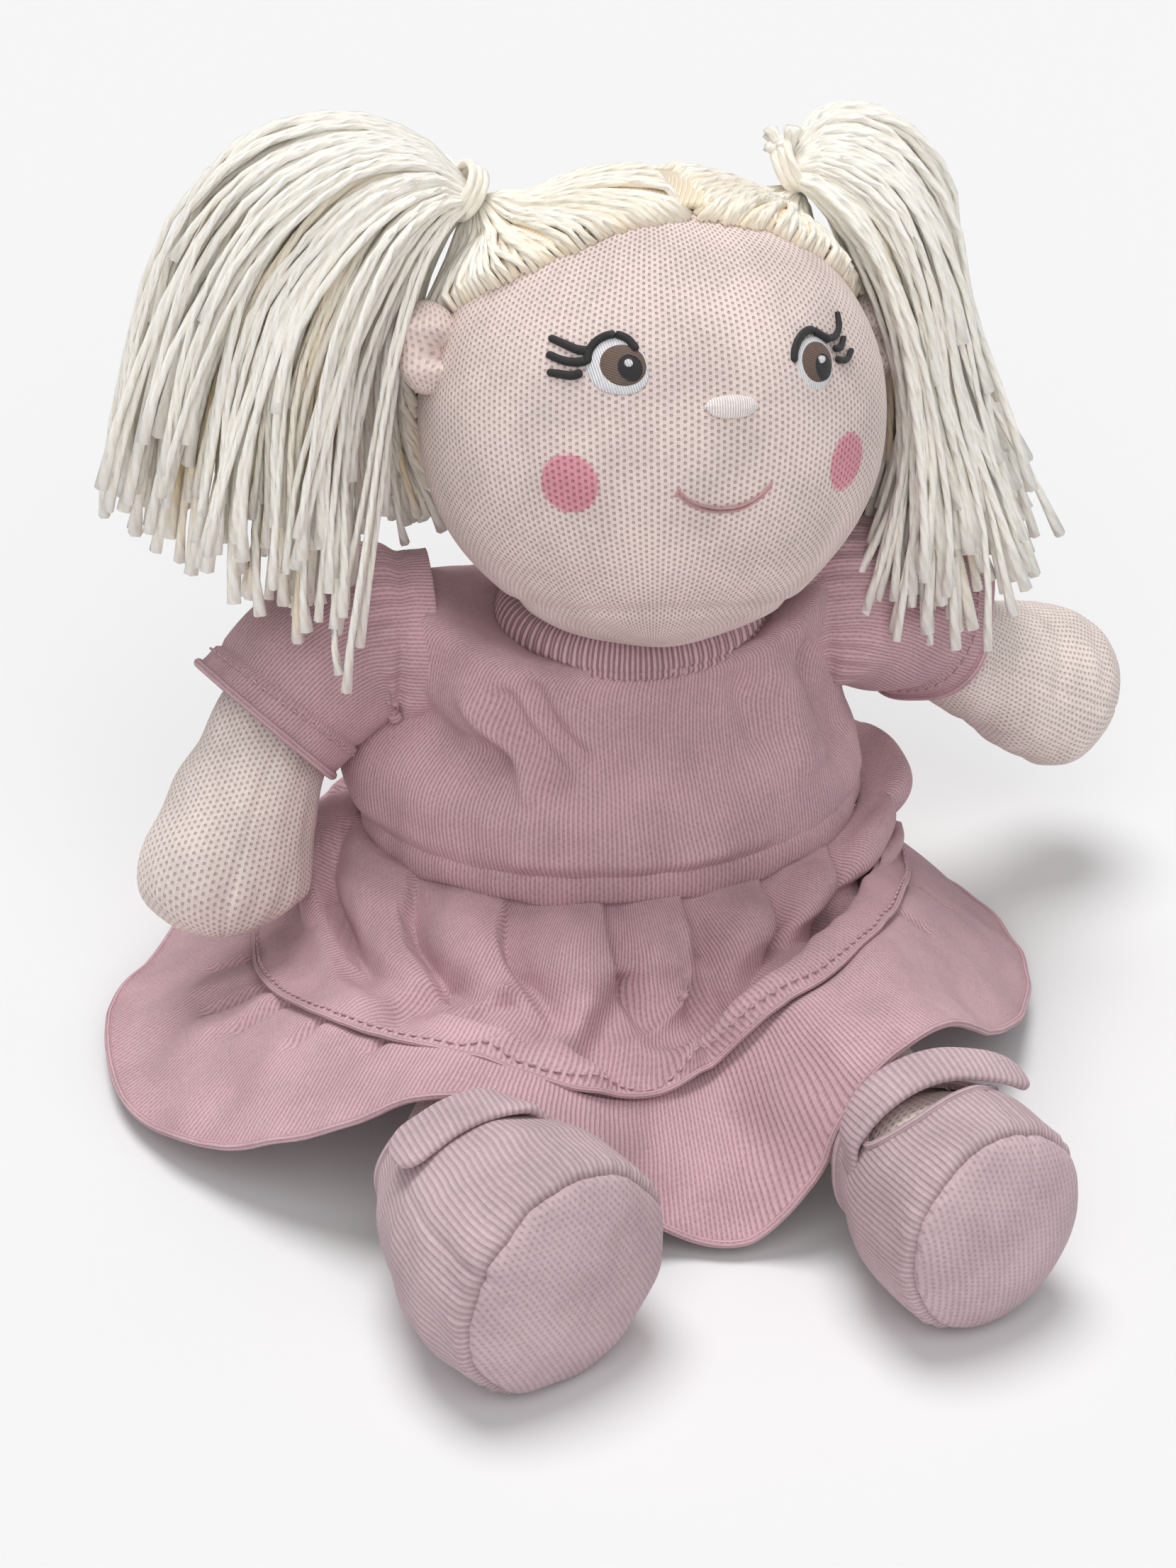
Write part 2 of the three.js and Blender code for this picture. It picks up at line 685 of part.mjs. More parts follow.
for (const { name } of SIDES) {
  const { upper, sole, strap } = shoes[name];
  const leg = legForm(name, 0);
  piece(`leg_${name}`, `leg_${name}`, leg, COLOURS.limb);
  piece(`leg_${name}`, `shoe_upper_${name}`, upper, COLOURS.shoe);
  piece(`leg_${name}`, `shoe_sole_${name}`, sole, COLOURS.sole);
  const { ankle, along } = shoes[name];
  const [foldAcross, foldUp] = LEGS[name].strapFold;
  const strapHinge = ankle.clone().addScaledVector(along, 3 + STRAP_WIDTH / 2)
    .addScaledVector(legAcross(LEGS[name]), foldAcross).add(vec(0, 0, foldUp));
  bodyGroup(`strap_${name}`, strapHinge, `leg_${name}`);
  piece(`strap_${name}`, `shoe_strap_${name}`, strap, COLOURS.shoe);
  const shoeRoom = legForm(name, SLIDE_GAP * 2 + SHOE_WALL + STRAP_THICKNESS + LAYER_GAP);
  flounce = flounce.subtract(legForm(name, LAYER_GAP)).subtract(cutBy(shoeRoom, ankle, along));
}
piece('torso', 'skirt_upper_tier', cutBy(upperTier, floor, vec(0, 0, 1)), COLOURS.dress);
piece('torso', 'skirt_flounce', cutBy(flounce, floor, vec(0, 0, 1)), COLOURS.dress);

// Arms and sleeves
const ARM_LINES = {
  right: [
    vec(-56, 2, 100),
    vec(-68, 0, 96.5),
    vec(-86, -7, 83),
    vec(-98, -17, 64),
    vec(-104, -24, 48),
    vec(-106, -27, 34),
  ],
  left: [
    vec(56, 2, 100),
    vec(68, 4, 97),
    vec(88, 11, 82),
    vec(108, 19, 67),
    vec(128, 27, 54),
    vec(146, 32, 44),
  ],
};
const ARM_WIDTHS = [15.5, 16, 15.5, 17.5, 22, 19];
const ARM_HEIGHTS = [15.5, 16, 15, 16, 18, 16];

function armForm(name, grow) {
  return stuffedForm({
    line: ARM_LINES[name],
    widths: ARM_WIDTHS,
    heights: ARM_HEIGHTS,
    side: name === 'right' ? vec(0.75, 0.2, -0.6) : vec(0.2, 0.75, 0.9),
    endCap: 15,
    grow,
  });
}

function sleeveForm(name, grow, sign, extra) {
  const line = ARM_LINES[name].slice(0, 3).map((point) => point.clone());
  line[0].copy(shoulderPoint(sign, SHOULDER_REACH - 10));
  line[1].copy(shoulderPoint(sign, SHOULDER_REACH + 6));
  const last = line[2].clone().sub(line[1]).normalize();
  line[2].addScaledVector(last, extra);
  return stuffedForm({
    line,
    widths: [SHOULDER_RADIUS, SHOULDER_RADIUS, 21],
    heights: [SHOULDER_RADIUS, SHOULDER_RADIUS - 0.5, 20.5],
    side: vec(0, 1, 0),
    grow,
    stations: 4,
    around: 20,
  });
}

for (const { name, sign } of SIDES) {
  const arm = armForm(name, 0).subtract(bodyForm(-KNIT));
  piece(`arm_${name}`, `arm_${name}`, arm, COLOURS.limb);
  let sleeve = sleeveForm(name, 0, sign, 4).subtract(sleeveForm(name, -KNIT, sign, 6));
  sleeve = cutBy(sleeve, shoulderPoint(sign, SHOULDER_REACH + SLIDE_GAP), vec(sign, 0, 0));
  piece(`arm_${name}`, `sleeve_${name}`, sleeve.subtract(armForm(name, SLIDE_GAP)), COLOURS.dress);
}

// Head with ears
const earPlace = (sign) => onHead(sign * HEAD_RADII.x, -2, 17);
const earSolids = {};
for (const { name, sign } of SIDES) {
  const turn = new THREE.Matrix4().extractRotation(headMatrix)
    .multiply(new THREE.Matrix4().makeRotationZ(sign * 0.35));
  const ear = ball(vec(7.5, 5, 11), earPlace(sign), 12, 10, turn)
    .subtract(ball(vec(4, 3.5, 6.5), onHead(sign * 61, -6.5, 18), 10, 6, turn));
  earSolids[name] = ear.subtract(headForm(SEWN_GAP));
}
piece('head', 'head', headForm(0), COLOURS.face);
for (const { name } of SIDES) {
  piece('head', `ear_${name}`, earSolids[name], COLOURS.face);
}

// Hair cap, kept behind the hairline seen from the side of the head
const hairOutline = new THREE.Shape([
  new THREE.Vector2(-21, 90),
  new THREE.Vector2(-21, 50),
  new THREE.Vector2(-16, 30),
  new THREE.Vector2(2, 29),
  new THREE.Vector2(8, 10),
  new THREE.Vector2(10, -16),
  new THREE.Vector2(16, -24),
  new THREE.Vector2(90, -24),
  new THREE.Vector2(90, 90),
]);
const hairPrism = new THREE.ExtrudeGeometry(hairOutline, { depth: 200, bevelEnabled: false });
hairPrism.translate(0, 0, -100);
hairPrism.applyMatrix4(new THREE.Matrix4().makeBasis(vec(0, 1, 0), vec(0, 0, 1), vec(1, 0, 0)));
hairPrism.applyMatrix4(headMatrix);
let hair = headForm(HAIR_THICKNESS, 20, 14).subtract(headForm(SEWN_GAP)).intersect(solidOf(hairPrism));
for (const { sign } of SIDES) {
  const turn = new THREE.Matrix4().extractRotation(headMatrix);
  hair = hair.subtract(ball(vec(10, 7, 13), earPlace(sign), 10, 8, turn));
}

// Room around a gather where a pigtail's root may reach into the cap
function rootRoom(gather) {
  const radius = GATHER_RADIUS + 2;
  return ball(vec(radius, radius, radius), gather, 10, 8);
}

// Pigtails: each leaves a ball-shaped gather on the cap and falls beside the face
const gatherDirections = {
  right: vec(-40, 2, 50).normalize(),
  left: vec(40, 2, 53).normalize(),
};
const PIGTAIL_LINES = {
  right: [vec(-54, 6, 216), vec(-77, 8, 208), vec(-92, 8, 186), vec(-98, 6, 156), vec(-99, 4, 124.5)],
  left: [vec(62, 19, 217), vec(79, 19, 206), vec(90, 17, 184), vec(97, 13, 154), vec(100, 10, 125.5)],
};
const pigtails = {};
for (const { name, sign } of SIDES) {
  const direction = gatherDirections[name];
  const gather = direction.clone().multiplyScalar(GATHER_HEIGHT).applyMatrix4(headMatrix);
  const outward = direction.clone().transformDirection(headMatrix);
  const root = ball(vec(GATHER_RADIUS, GATHER_RADIUS, GATHER_RADIUS), gather, 10, 8);
  const start = gather.clone().addScaledVector(outward, 1);
  const line = [start, gather.clone().addScaledVector(outward, 8), ...PIGTAIL_LINES[name]];
  const spray = stuffedForm({
    line,
    widths: [4.6, 5, 15, 23, 26, 27, 27],
    heights: [4.6, 5, 12, 20, 25, 27, 28],
    side: vec(-sign * 0.6, 0, -0.8).addScaledVector(vec(-sign, 0, 0), 0.4),
    endCap: 10,
    around: 14,
  });
  hair = hair.subtract(ball(
    vec(GATHER_RADIUS + SEWN_GAP, GATHER_RADIUS + SEWN_GAP, GATHER_RADIUS + SEWN_GAP),
    gather,
    10,
    8,
  ));
  pigtails[name] = {
    gather,
    outward,
    tiePlace: gather.clone().addScaledVector(outward, 5),
    solid: root.add(spray),
  };
}
piece('head', 'hair_cap', hair, COLOURS.hair);
for (const { name, sign } of SIDES) {
  const {
    gather, outward, tiePlace, solid,
  } = pigtails[name];
  bodyGroup(`pigtail_${name}`, gather, 'head');
  const clear = ring(TIE_RADIUS, TIE_THICKNESS + SLIDE_GAP, tiePlace, outward);
  piece(
    `pigtail_${name}`,
    `pigtail_${name}`,
    solid.subtract(clear).subtract(headForm(HAIR_THICKNESS + 2).subtract(rootRoom(gather)))
      .subtract(ball(vec(14, 12, 15), earPlace(sign), 10, 8)),
    COLOURS.hair,
  );
  const tie = ring(TIE_RADIUS, TIE_THICKNESS, tiePlace, outward);
  piece(`pigtail_${name}`, `hair_tie_${name}`, tie, COLOURS.hair);
}

// Embroidery on the face, in head space as seen from the front
const STITCH_LOW = 0.3;
const STITCH_HIGH = 1.2;
const STITCH_TOP = 1.9;
const EYE = { x: 25, z: 12, wide: 6.2, high: 5.4 };

function oval(x, z, wide, high) {
  const shape = new THREE.Shape();
  shape.absellipse(x, z, wide, high, 0, Math.PI * 2);
  return shape;
}

// A stitched line of one width through the listed places
function stroke(points, width) {
  const curve = new THREE.SplineCurve(points.map(([x, z]) => new THREE.Vector2(x, z)));
  const steps = 4;
  const left = [];
  const right = [];
  for (let i = 0; i <= steps; i += 1) {
    const middle = curve.getPoint(i / steps);
    const along = curve.getTangent(i / steps);
    const across = new THREE.Vector2(-along.y, along.x).multiplyScalar(width / 2);
    left.push(middle.clone().add(across));
    right.push(middle.clone().sub(across));
  }
  return new THREE.Shape([...left, ...right.reverse()]);
}

for (const { name, sign } of SIDES) {
  const at = (x, z) => [sign * (EYE.x + x), EYE.z + z];
  const white = facePatch(oval(...at(0, 0), EYE.wide, EYE.high), STITCH_LOW, STITCH_HIGH);
  const irisOutline = oval(sign * EYE.x + 1.3, EYE.z + 0.8, 4.3, 4);
  const iris = facePatch(irisOutline, STITCH_HIGH + STITCH_LOW, STITCH_TOP);
  const lines = [
    [at(-5.6, 4), at(-2, 7.6), at(2.4, 7.4), at(6.6, 3)],
    [at(5, 4.6), at(9, 5.4), at(13, 8.2)],
    [at(5.8, 3.6), at(9.5, 3), at(13.6, 4.4)],
    [at(6.4, 2.4), at(9.5, 0.2), at(13.8, 0)],
  ];
  let lashes = facePatch(stroke(lines[0], 2), STITCH_LOW, STITCH_HIGH);
  for (const line of lines.slice(1)) {
    lashes = lashes.add(facePatch(stroke(line, 1.4), STITCH_LOW, STITCH_HIGH));
  }
  const eyeRoom = facePatch(oval(...at(0, 0), EYE.wide + SLIDE_GAP, EYE.high + SLIDE_GAP), 0, 3);
  piece('head', `eye_white_${name}`, white, COLOURS.white);
  piece('head', `iris_${name}`, iris, COLOURS.iris);
  piece('head', `lid_and_lashes_${name}`, lashes.subtract(eyeRoom), COLOURS.thread);
}
const nose = facePatch(oval(0, 3, 6.6, 2.7), STITCH_LOW, STITCH_TOP);
piece('head', 'nose', nose, COLOURS.nose);
const smile = facePatch(stroke([[-12, -16], [-6, -19.6], [0, -20.6], [6, -19.2], [11, -15]], 1.3),
  STITCH_LOW, STITCH_HIGH);
piece('head', 'mouth', smile, COLOURS.mouth);

// Button that closes the dress behind the neck
const buttonAxis = vec(0, 1, 0.3);
const button = bar(5, 40, vec(6, 12, 92), buttonAxis, 5, 20)
  .intersect(bodyForm(2.6)).subtract(bodyForm(SLIDE_GAP));
piece('torso', 'dress_button', button, COLOURS.button);

// Musical movement: a case in the torso's pocket, its works, and the key behind the doll
const caseBack = CASE_MIDDLE.y + CASE_SIZE.y / 2;
const caseFront = CASE_MIDDLE.y - CASE_SIZE.y / 2;
const shell = box(
  vec(CASE_SIZE.x, CASE_SIZE.y - LID_THICKNESS - SLIDE_GAP, CASE_SIZE.z),
  vec(CASE_MIDDLE.x, CASE_MIDDLE.y + (LID_THICKNESS + SLIDE_GAP) / 2, CASE_MIDDLE.z),
);
const hollow = box(
  vec(CASE_SIZE.x - 2 * CASE_WALL, CASE_SIZE.y, CASE_SIZE.z - 2 * CASE_WALL),
  vec(CASE_MIDDLE.x, CASE_MIDDLE.y - CASE_WALL, CASE_MIDDLE.z),
);
const along = vec(0, 1, 0);
const axisPoint = (x, y, z) => vec(CASE_MIDDLE.x + x, y, CASE_MIDDLE.z + z);
const shaftHole = bar(SHAFT_RADIUS + SHAFT_GAP, 90, vec(shaftLine.x, -20, shaftLine.z), along);
piece('torso', 'movement_case', shell.subtract(hollow).subtract(shaftHole), COLOURS.case, 0.5);
const lid = box(
  vec(CASE_SIZE.x, LID_THICKNESS, CASE_SIZE.z),
  vec(CASE_MIDDLE.x, caseFront + LID_THICKNESS / 2, CASE_MIDDLE.z),
);
piece('torso', 'case_lid', lid, COLOURS.case, 0.5);

const bedBack = caseBack - CASE_WALL - SLIDE_GAP;
const bedFront = bedBack - BED_THICKNESS;
const gearBack = bedFront - 0.6;
const gearThickness = 1.6;
const gearFront = gearBack - gearThickness;
const barrelX = -AXIS_SIDE;
const cylinderX = AXIS_SIDE;
const rollGap = 0.2;
const pinionRadius = CYLINDER_RADIUS + 0.6;
const barrelGearRadius = cylinderX - barrelX - pinionRadius - rollGap;
const flyGearRadius = 3.8;
const flyHeight = pinionRadius + rollGap + flyGearRadius;
const pivotRadius = 0.8;

const combX = cylinderX + CYLINDER_RADIUS + 0.9;
const combEnd = CASE_SIZE.x / 2 - CASE_WALL - 0.8;
const combThickness = 0.8;
const combFront = caseFront + LID_THICKNESS + 3;
const combLength = bedFront - combFront - 3;
const teeth = 12;
let comb = box(
  vec(combEnd - combX, combLength, combThickness),
  axisPoint((combEnd + combX) / 2, combFront + combLength / 2, 0),
);
for (let i = 1; i < teeth; i += 1) {
  const slotLength = (combEnd - combX) * 0.4;
  comb = comb.subtract(box(
    vec(slotLength * 2, 0.35, combThickness * 3),
    axisPoint(combX, combFront + (combLength * i) / teeth, 0),
  ));
}
const combRest = box(
  vec(3, bedFront - combFront, 4),
  axisPoint(combEnd - 1.5, (bedFront + combFront) / 2, -combThickness / 2 - SLIDE_GAP - 2),
);
const bedplate = box(
  vec(CASE_SIZE.x - 2 * CASE_WALL - 1, BED_THICKNESS, CASE_SIZE.z - 2 * CASE_WALL - 1),
  vec(CASE_MIDDLE.x, bedFront + BED_THICKNESS / 2, CASE_MIDDLE.z),
).subtract(shaftHole)
  .subtract(bar(pivotRadius + SHAFT_GAP, 40, axisPoint(cylinderX, 0, 0), along))
  .subtract(bar(pivotRadius + SHAFT_GAP, 40, axisPoint(cylinderX, 0, flyHeight), along))
  .add(combRest.translate([0, WELDED, 0]));
piece('torso', 'bedplate', bedplate, COLOURS.zinc, 0.45, 0.9);
piece('torso', 'comb', comb, COLOURS.steel, 0.3, 0.95);
[2.2, combLength - 2.2].forEach((place, i) => {
  const foot = axisPoint(combEnd - 1.4, combFront + place, combThickness / 2 + 0.2);
  const screw = bar(SCREW_RADIUS, SCREW_HEIGHT, foot, vec(0, 0, 1), SCREW_RADIUS, 12);
  piece('torso', `comb_screw_${i + 1}`, screw, COLOURS.brass, 0.35, 0.9);
});

// The governor's bracket holds the front end of the fly
const bracketFront = gearFront - 3.4;
const bracketTop = CASE_SIZE.z / 2 - CASE_WALL - 0.7;
const bracketFoot = 1.6;
const bracket = box(
  vec(9, 1.4, bracketTop - CYLINDER_RADIUS - 2.4),
  axisPoint(cylinderX, bracketFront + 0.7, (bracketTop + CYLINDER_RADIUS + 2.4) / 2),
).add(box(
  vec(9, bedFront - bracketFront - SLIDE_GAP, bracketFoot),
  axisPoint(cylinderX, (bedFront - SLIDE_GAP + bracketFront) / 2, bracketTop - bracketFoot / 2),
)).subtract(bar(pivotRadius + SHAFT_GAP, 40, axisPoint(cylinderX, 0, flyHeight), along));
piece('torso', 'governor_bracket', bracket, COLOURS.brass, 0.35, 0.9);

bodyGroup('barrel', vec(shaftLine.x, gearFront, shaftLine.z), 'torso');
const barrelPoint = (y) => axisPoint(barrelX, y, 0);
const rim = [barrelPoint(gearFront - WELDED), along, barrelGearRadius, 32];
const barrel = bar(BARREL_RADIUS, gearFront - combFront - 1, barrelPoint(combFront + 1), along)
  .add(bar(barrelGearRadius, gearThickness + WELDED, ...rim))
  .subtract(shaftHole);
piece('barrel', 'spring_barrel', barrel, COLOURS.brass, 0.35, 0.9);

bodyGroup('cylinder', axisPoint(cylinderX, gearFront, 0), 'torso');
const cylinderPoint = (y) => axisPoint(cylinderX, y, 0);
let cylinder = bar(CYLINDER_RADIUS, gearFront - combFront, cylinderPoint(combFront), along)
  .add(bar(pinionRadius, gearThickness + WELDED, cylinderPoint(gearFront - WELDED), along))
  .add(bar(pivotRadius, bedFront + 1.2 - gearBack, cylinderPoint(gearBack - 0.2), along, pivotRadius, 12));
for (let i = 0; i < teeth; i += 1) {
  const turn = (i * 5 * Math.PI * 2) / teeth + 0.3;
  const pin = box(
    vec(1.2, 0.4, 0.4),
    axisPoint(
      cylinderX + CYLINDER_RADIUS * Math.cos(turn),
      combFront + (combLength * (i + 0.5)) / teeth,
      CYLINDER_RADIUS * Math.sin(turn),
    ),
    new THREE.Matrix4().makeRotationY(-turn),
  );
  cylinder = cylinder.add(pin);
}
piece('cylinder', 'pinned_cylinder', cylinder, COLOURS.brass, 0.3, 0.9);

bodyGroup('fly', axisPoint(cylinderX, gearFront, flyHeight), 'torso');
const wingLength = 5;
const wingThickness = 0.6;
const flyPoint = (y) => axisPoint(cylinderX, y, flyHeight);
const flyShaftLength = bedFront + 1 - bracketFront + wingLength;
const wings = vec(2 * (FLY_RADIUS - 0.8), wingLength - wingThickness, wingThickness);
const fly = bar(pivotRadius, flyShaftLength, flyPoint(bracketFront - wingLength), along, pivotRadius, 12)
  .add(bar(flyGearRadius, gearThickness, flyPoint(gearFront), along, flyGearRadius, 16))
  .add(box(wings, flyPoint(bracketFront - wingLength / 2 - 0.2)));
piece('fly', 'governor_fly', fly, COLOURS.steel, 0.3, 0.9);

bodyGroup('key', vec(shaftLine.x, caseBack, shaftLine.z), 'torso');
const shaftEnd = 52;
const shaft = bar(SHAFT_RADIUS, shaftEnd - combFront, barrelPoint(combFront), along, SHAFT_RADIUS, 16);
piece('key', 'winding_shaft', shaft, COLOURS.steel, 0.3, 0.95);
const keyStem = 44.5;
const keyBore = SHAFT_RADIUS + SHAFT_GAP;
const grip = vec(KEY_GRIP.x, KEY_GRIP.z, KEY_GRIP.y);
const key = bar(3, 7, barrelPoint(keyStem), along, 2.6, 20)
  .add(box(grip, barrelPoint(keyStem + 6 + KEY_GRIP.z / 2)))
  .subtract(bar(keyBore, shaftEnd + SLIDE_GAP - keyStem + 1, barrelPoint(keyStem - 1), along, keyBore, 16));
piece('key', 'winding_key', key, COLOURS.steel, 0.3, 0.95);

export default doll;
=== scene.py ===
import math

import bmesh
import bpy
import numpy as np
from mathutils import Matrix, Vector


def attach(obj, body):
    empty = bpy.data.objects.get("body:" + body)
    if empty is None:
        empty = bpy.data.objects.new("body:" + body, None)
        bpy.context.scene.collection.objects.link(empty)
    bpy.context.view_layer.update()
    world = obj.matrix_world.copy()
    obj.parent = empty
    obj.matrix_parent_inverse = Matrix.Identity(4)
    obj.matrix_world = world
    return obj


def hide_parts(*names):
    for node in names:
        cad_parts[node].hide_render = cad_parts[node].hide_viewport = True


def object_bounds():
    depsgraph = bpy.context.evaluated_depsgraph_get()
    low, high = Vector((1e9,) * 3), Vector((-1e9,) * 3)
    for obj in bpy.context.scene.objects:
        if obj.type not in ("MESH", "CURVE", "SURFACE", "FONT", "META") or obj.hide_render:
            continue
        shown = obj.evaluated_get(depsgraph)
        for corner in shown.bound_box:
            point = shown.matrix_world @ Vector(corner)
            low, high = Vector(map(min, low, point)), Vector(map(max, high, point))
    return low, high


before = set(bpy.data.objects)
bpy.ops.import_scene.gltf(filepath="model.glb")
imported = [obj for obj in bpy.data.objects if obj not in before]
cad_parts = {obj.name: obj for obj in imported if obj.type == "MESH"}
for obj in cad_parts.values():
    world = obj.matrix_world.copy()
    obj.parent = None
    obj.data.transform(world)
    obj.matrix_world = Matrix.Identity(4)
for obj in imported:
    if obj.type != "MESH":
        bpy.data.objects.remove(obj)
CAD_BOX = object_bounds()

bl_info = {
    "name": "Knitted musical doll",
    "version": (1, 0, 0),
    "blender": (4, 5, 0),
    "location": "3D View > Sidebar > Doll",
    "description": "Dresses the doll's frame: knit skin, yarn hair, embroidered face, dress and shoes",
    "category": "Object",
}

# Lengths are millimetres until a mesh is made, and metres in the mesh
MM = 0.001

# The head is a little taller than deep; it turns, tilts back and leans
HEAD_CENTRE = np.array([8.5, -12.0, 163.6])
HEAD_RADII = np.array([57.5, 56.5, 57.0])
HEAD_TURN = math.radians(10)
HEAD_TILT = math.radians(-22)
HEAD_ROLL = math.radians(7)

# The gathers of the pigtails: how far from the middle of the head they lie, and in which directions
GATHER_HEIGHT = 67.0
GATHERS = {"right": (-40.0, 2.0, 50.0), "left": (40.0, 2.0, 53.0)}

# The sign of x on each side of the doll
SIDES = {"right": -1, "left": 1}

# The trunk: places up its middle with half widths and half depths, and how much less they are under the
# dress, which hides it
BODY_LINE = [(0, -4, -6), (0, -5, 22), (0, -5, 50), (0, -4, 76), (0, -3, 92), (0, -3, 101), (0, -3, 105)]
BODY_WIDTHS = [50, 60, 62.5, 61, 55, 46, 38]
BODY_DEPTHS = [38, 45, 47, 44, 38, 32.5, 27]
TRUNK_INSET = 7.0

# Where the left arm and the neck start, and the waist's half width and half depth and the y of its middle
SHOULDER = np.array([58.0, 2.0, 100.0])
NECK_FOOT = np.array([5.0, -7.0, 100.0])
WAIST_RADII = (63.4, 47.9)
WAIST_MIDDLE = -5

# The least height of the stuffed pieces and of the skirt's hem over the floor
FLOOR_GAP = 0.2
HEM_GAP = 1.2

# Arms: lines down their middles, with half widths and half heights
ARM_LINES = {
    "right": [(-56, 2, 100), (-68, 0, 96.5), (-86, -7, 83), (-97, -17, 64), (-103, -24, 48), (-105, -27, 34)],
    "left": [(56, 2, 100), (68, 4, 97), (88, 11, 82), (108, 19, 67), (128, 27, 54), (146, 32, 44)],
}
ARM_WIDTHS = {"right": [15.5, 16, 16.5, 19.5, 23.5, 20], "left": [15.5, 16, 15.5, 17.5, 22, 19]}
ARM_HEIGHTS = [15.5, 16, 15, 16, 18, 16]
ARM_SIDES = {"right": (0.75, 0.2, -0.6), "left": (0.2, 0.75, 0.9)}

# Legs: the left hip's place, and how far along the leg and how high its middle's places lie, from inside
# the body to the ankle
UP = np.array([0.0, 0.0, 1.0])
HIP = (28.0, -35.0)
ANKLE = 104
LEG_STATIONS = [-12, 20, 64, ANKLE]
LEG_RISES = [22, 23, 24, 26]

# The way each leg points, how far its foot rolls over, its foot's line along and across the leg, and its
# half widths and half heights
LEGS = {
    "right": {"yaw": math.radians(-17), "roll": math.radians(22), "foot": [(ANKLE, 3), (123, 15), (141, 33)],
              "widths": [15, 16, 17, 21, 28, 27.5], "heights": [11, 12, 15, 20, 27, 26.5]},
    "left": {"yaw": math.radians(11), "roll": math.radians(8), "foot": [(ANKLE, 0), (124, 1), (147, 6)],
             "widths": [15, 16, 17, 17.5, 23, 23], "heights": [11, 12, 15, 18, 25.5, 26]},
}

# The height of the foot's middle, how far the shoe stands out from the foot, and how deep its sole panel is
FOOT_RISE = 27.6
SHOE_GROW = 2.2
SOLE_DEPTH = 9.6

# How far past the ankle each shoe's mouth lies, and from there the middle of its slot, the slot's half
# length and half its turn round the foot
SHOE_MOUTH = {"right": -5.0, "left": 1.5}
SLOT_PLACE = {"right": 10.0, "left": 13.5}
SLOT_HALF = {"right": 4.5, "left": 6.5}
SLOT_TURN = {"right": 0.4, "left": 0.78}

# The straps: the fold on the inner side and the free end on the outer side, each as how far it lies past
# the mouth and its turn from the top of the foot, how far the strap bows up, how far its free end stands
# up, half its width, and the angle by which its back edge tilts up
STRAPS = {
    "right": {"fold": (13.5, -1.0), "free": (14.5, 0.42), "bow": 0.3, "tip": 1.2, "half": 7.0, "tilt": 0.3},
    "left": {"fold": (8.5, 1.15), "free": (16.0, -1.0), "bow": 1.4, "tip": 2.2, "half": 5.7, "tilt": 0.45},
}

# The skirt's spokes: angle from the front towards the left hand, then seam reach and height,
# and hem reach and height
SKIRT_SPOKES = np.array([
    (-180, 76, 26, 98, 2.5), (-155, 80, 26, 102, 3), (-130, 86, 25, 108, 3), (-105, 90, 22, 115, 4),
    (-92, 94, 20, 124, 5), (-82, 97, 20, 136, 6), (-65, 105, 29, 146, 7), (-50, 113, 39, 144, 14),
    (-38, 119, 45, 144, 33), (-28, 120, 46, 140, 45.5), (-19, 123, 45, 138, 45), (-12, 120, 38, 139, 34),
    (-5, 112, 32, 134, 9), (4, 104, 31, 138, 4), (10, 105, 42, 141, 22), (15, 104, 47, 139, 45),
    (22, 102, 49, 136, 49), (30, 97, 50, 131, 44), (40, 91, 47, 123, 27), (55, 84, 42, 117, 11),
    (72, 80, 33, 112, 7), (94, 78, 28, 98, 4), (118, 74, 27, 93, 3), (148, 74, 26, 94, 2.5),
])

# The knit of each piece: how many wales go round it, and the height of a course
KNITS = {
    "ear": (28, 1.7), "neck": (78, 1.6), "arm": (80, 1.55), "leg": (74, 1.55), "trunk": (210, 1.9),
    "shoe": (112, 1.4), "strap": (26, 1.4), "collar": (160, 1.4), "sleeve": (134, 1.4), "edge": (6, 1.4),
}

# The head, the bodice and the skirt take their wales from the panel's pitch: the height of their courses,
# and the radii of the forms that the wales of the dress go round
HEAD_COURSE = 1.6
DRESS_COURSE = 1.4
BODICE_RADIUS = 58
TIER_RADIUS = 92
FLOUNCE_RADIUS = 118


class DollSizes(bpy.types.PropertyGroup):
    """Sizes that change the doll's fabric and hair"""

    wale_pitch: bpy.props.FloatProperty(
        name="Skin wale", description="Distance between two columns of holes in the skin's knit",
        default=1.6 * MM, unit="LENGTH", subtype="DISTANCE")
    dress_pitch: bpy.props.FloatProperty(
        name="Dress wale", description="Distance between two wales of the dress's knit",
        default=1.05 * MM, unit="LENGTH", subtype="DISTANCE")
    yarn_radius: bpy.props.FloatProperty(
        name="Yarn radius", description="Half the thickness of a strand of hair",
        default=0.98 * MM, unit="LENGTH", subtype="DISTANCE")
    pigtail_strands: bpy.props.IntProperty(
        name="Pigtail strands", description="Strands in each pigtail", default=270, min=20, max=320)
    cap_strands: bpy.props.IntProperty(
        name="Cap strands", description="Strands on each half of the cap", default=150, min=20, max=200)


def colour_property(name, description, colour):
    """A colour that a user can change, given as sRGB values from 0 to 255"""
    return bpy.props.FloatVectorProperty(
        name=name, description=description, default=tuple(c / 255 for c in colour),
        min=0, max=1, size=3, subtype="COLOR_GAMMA")


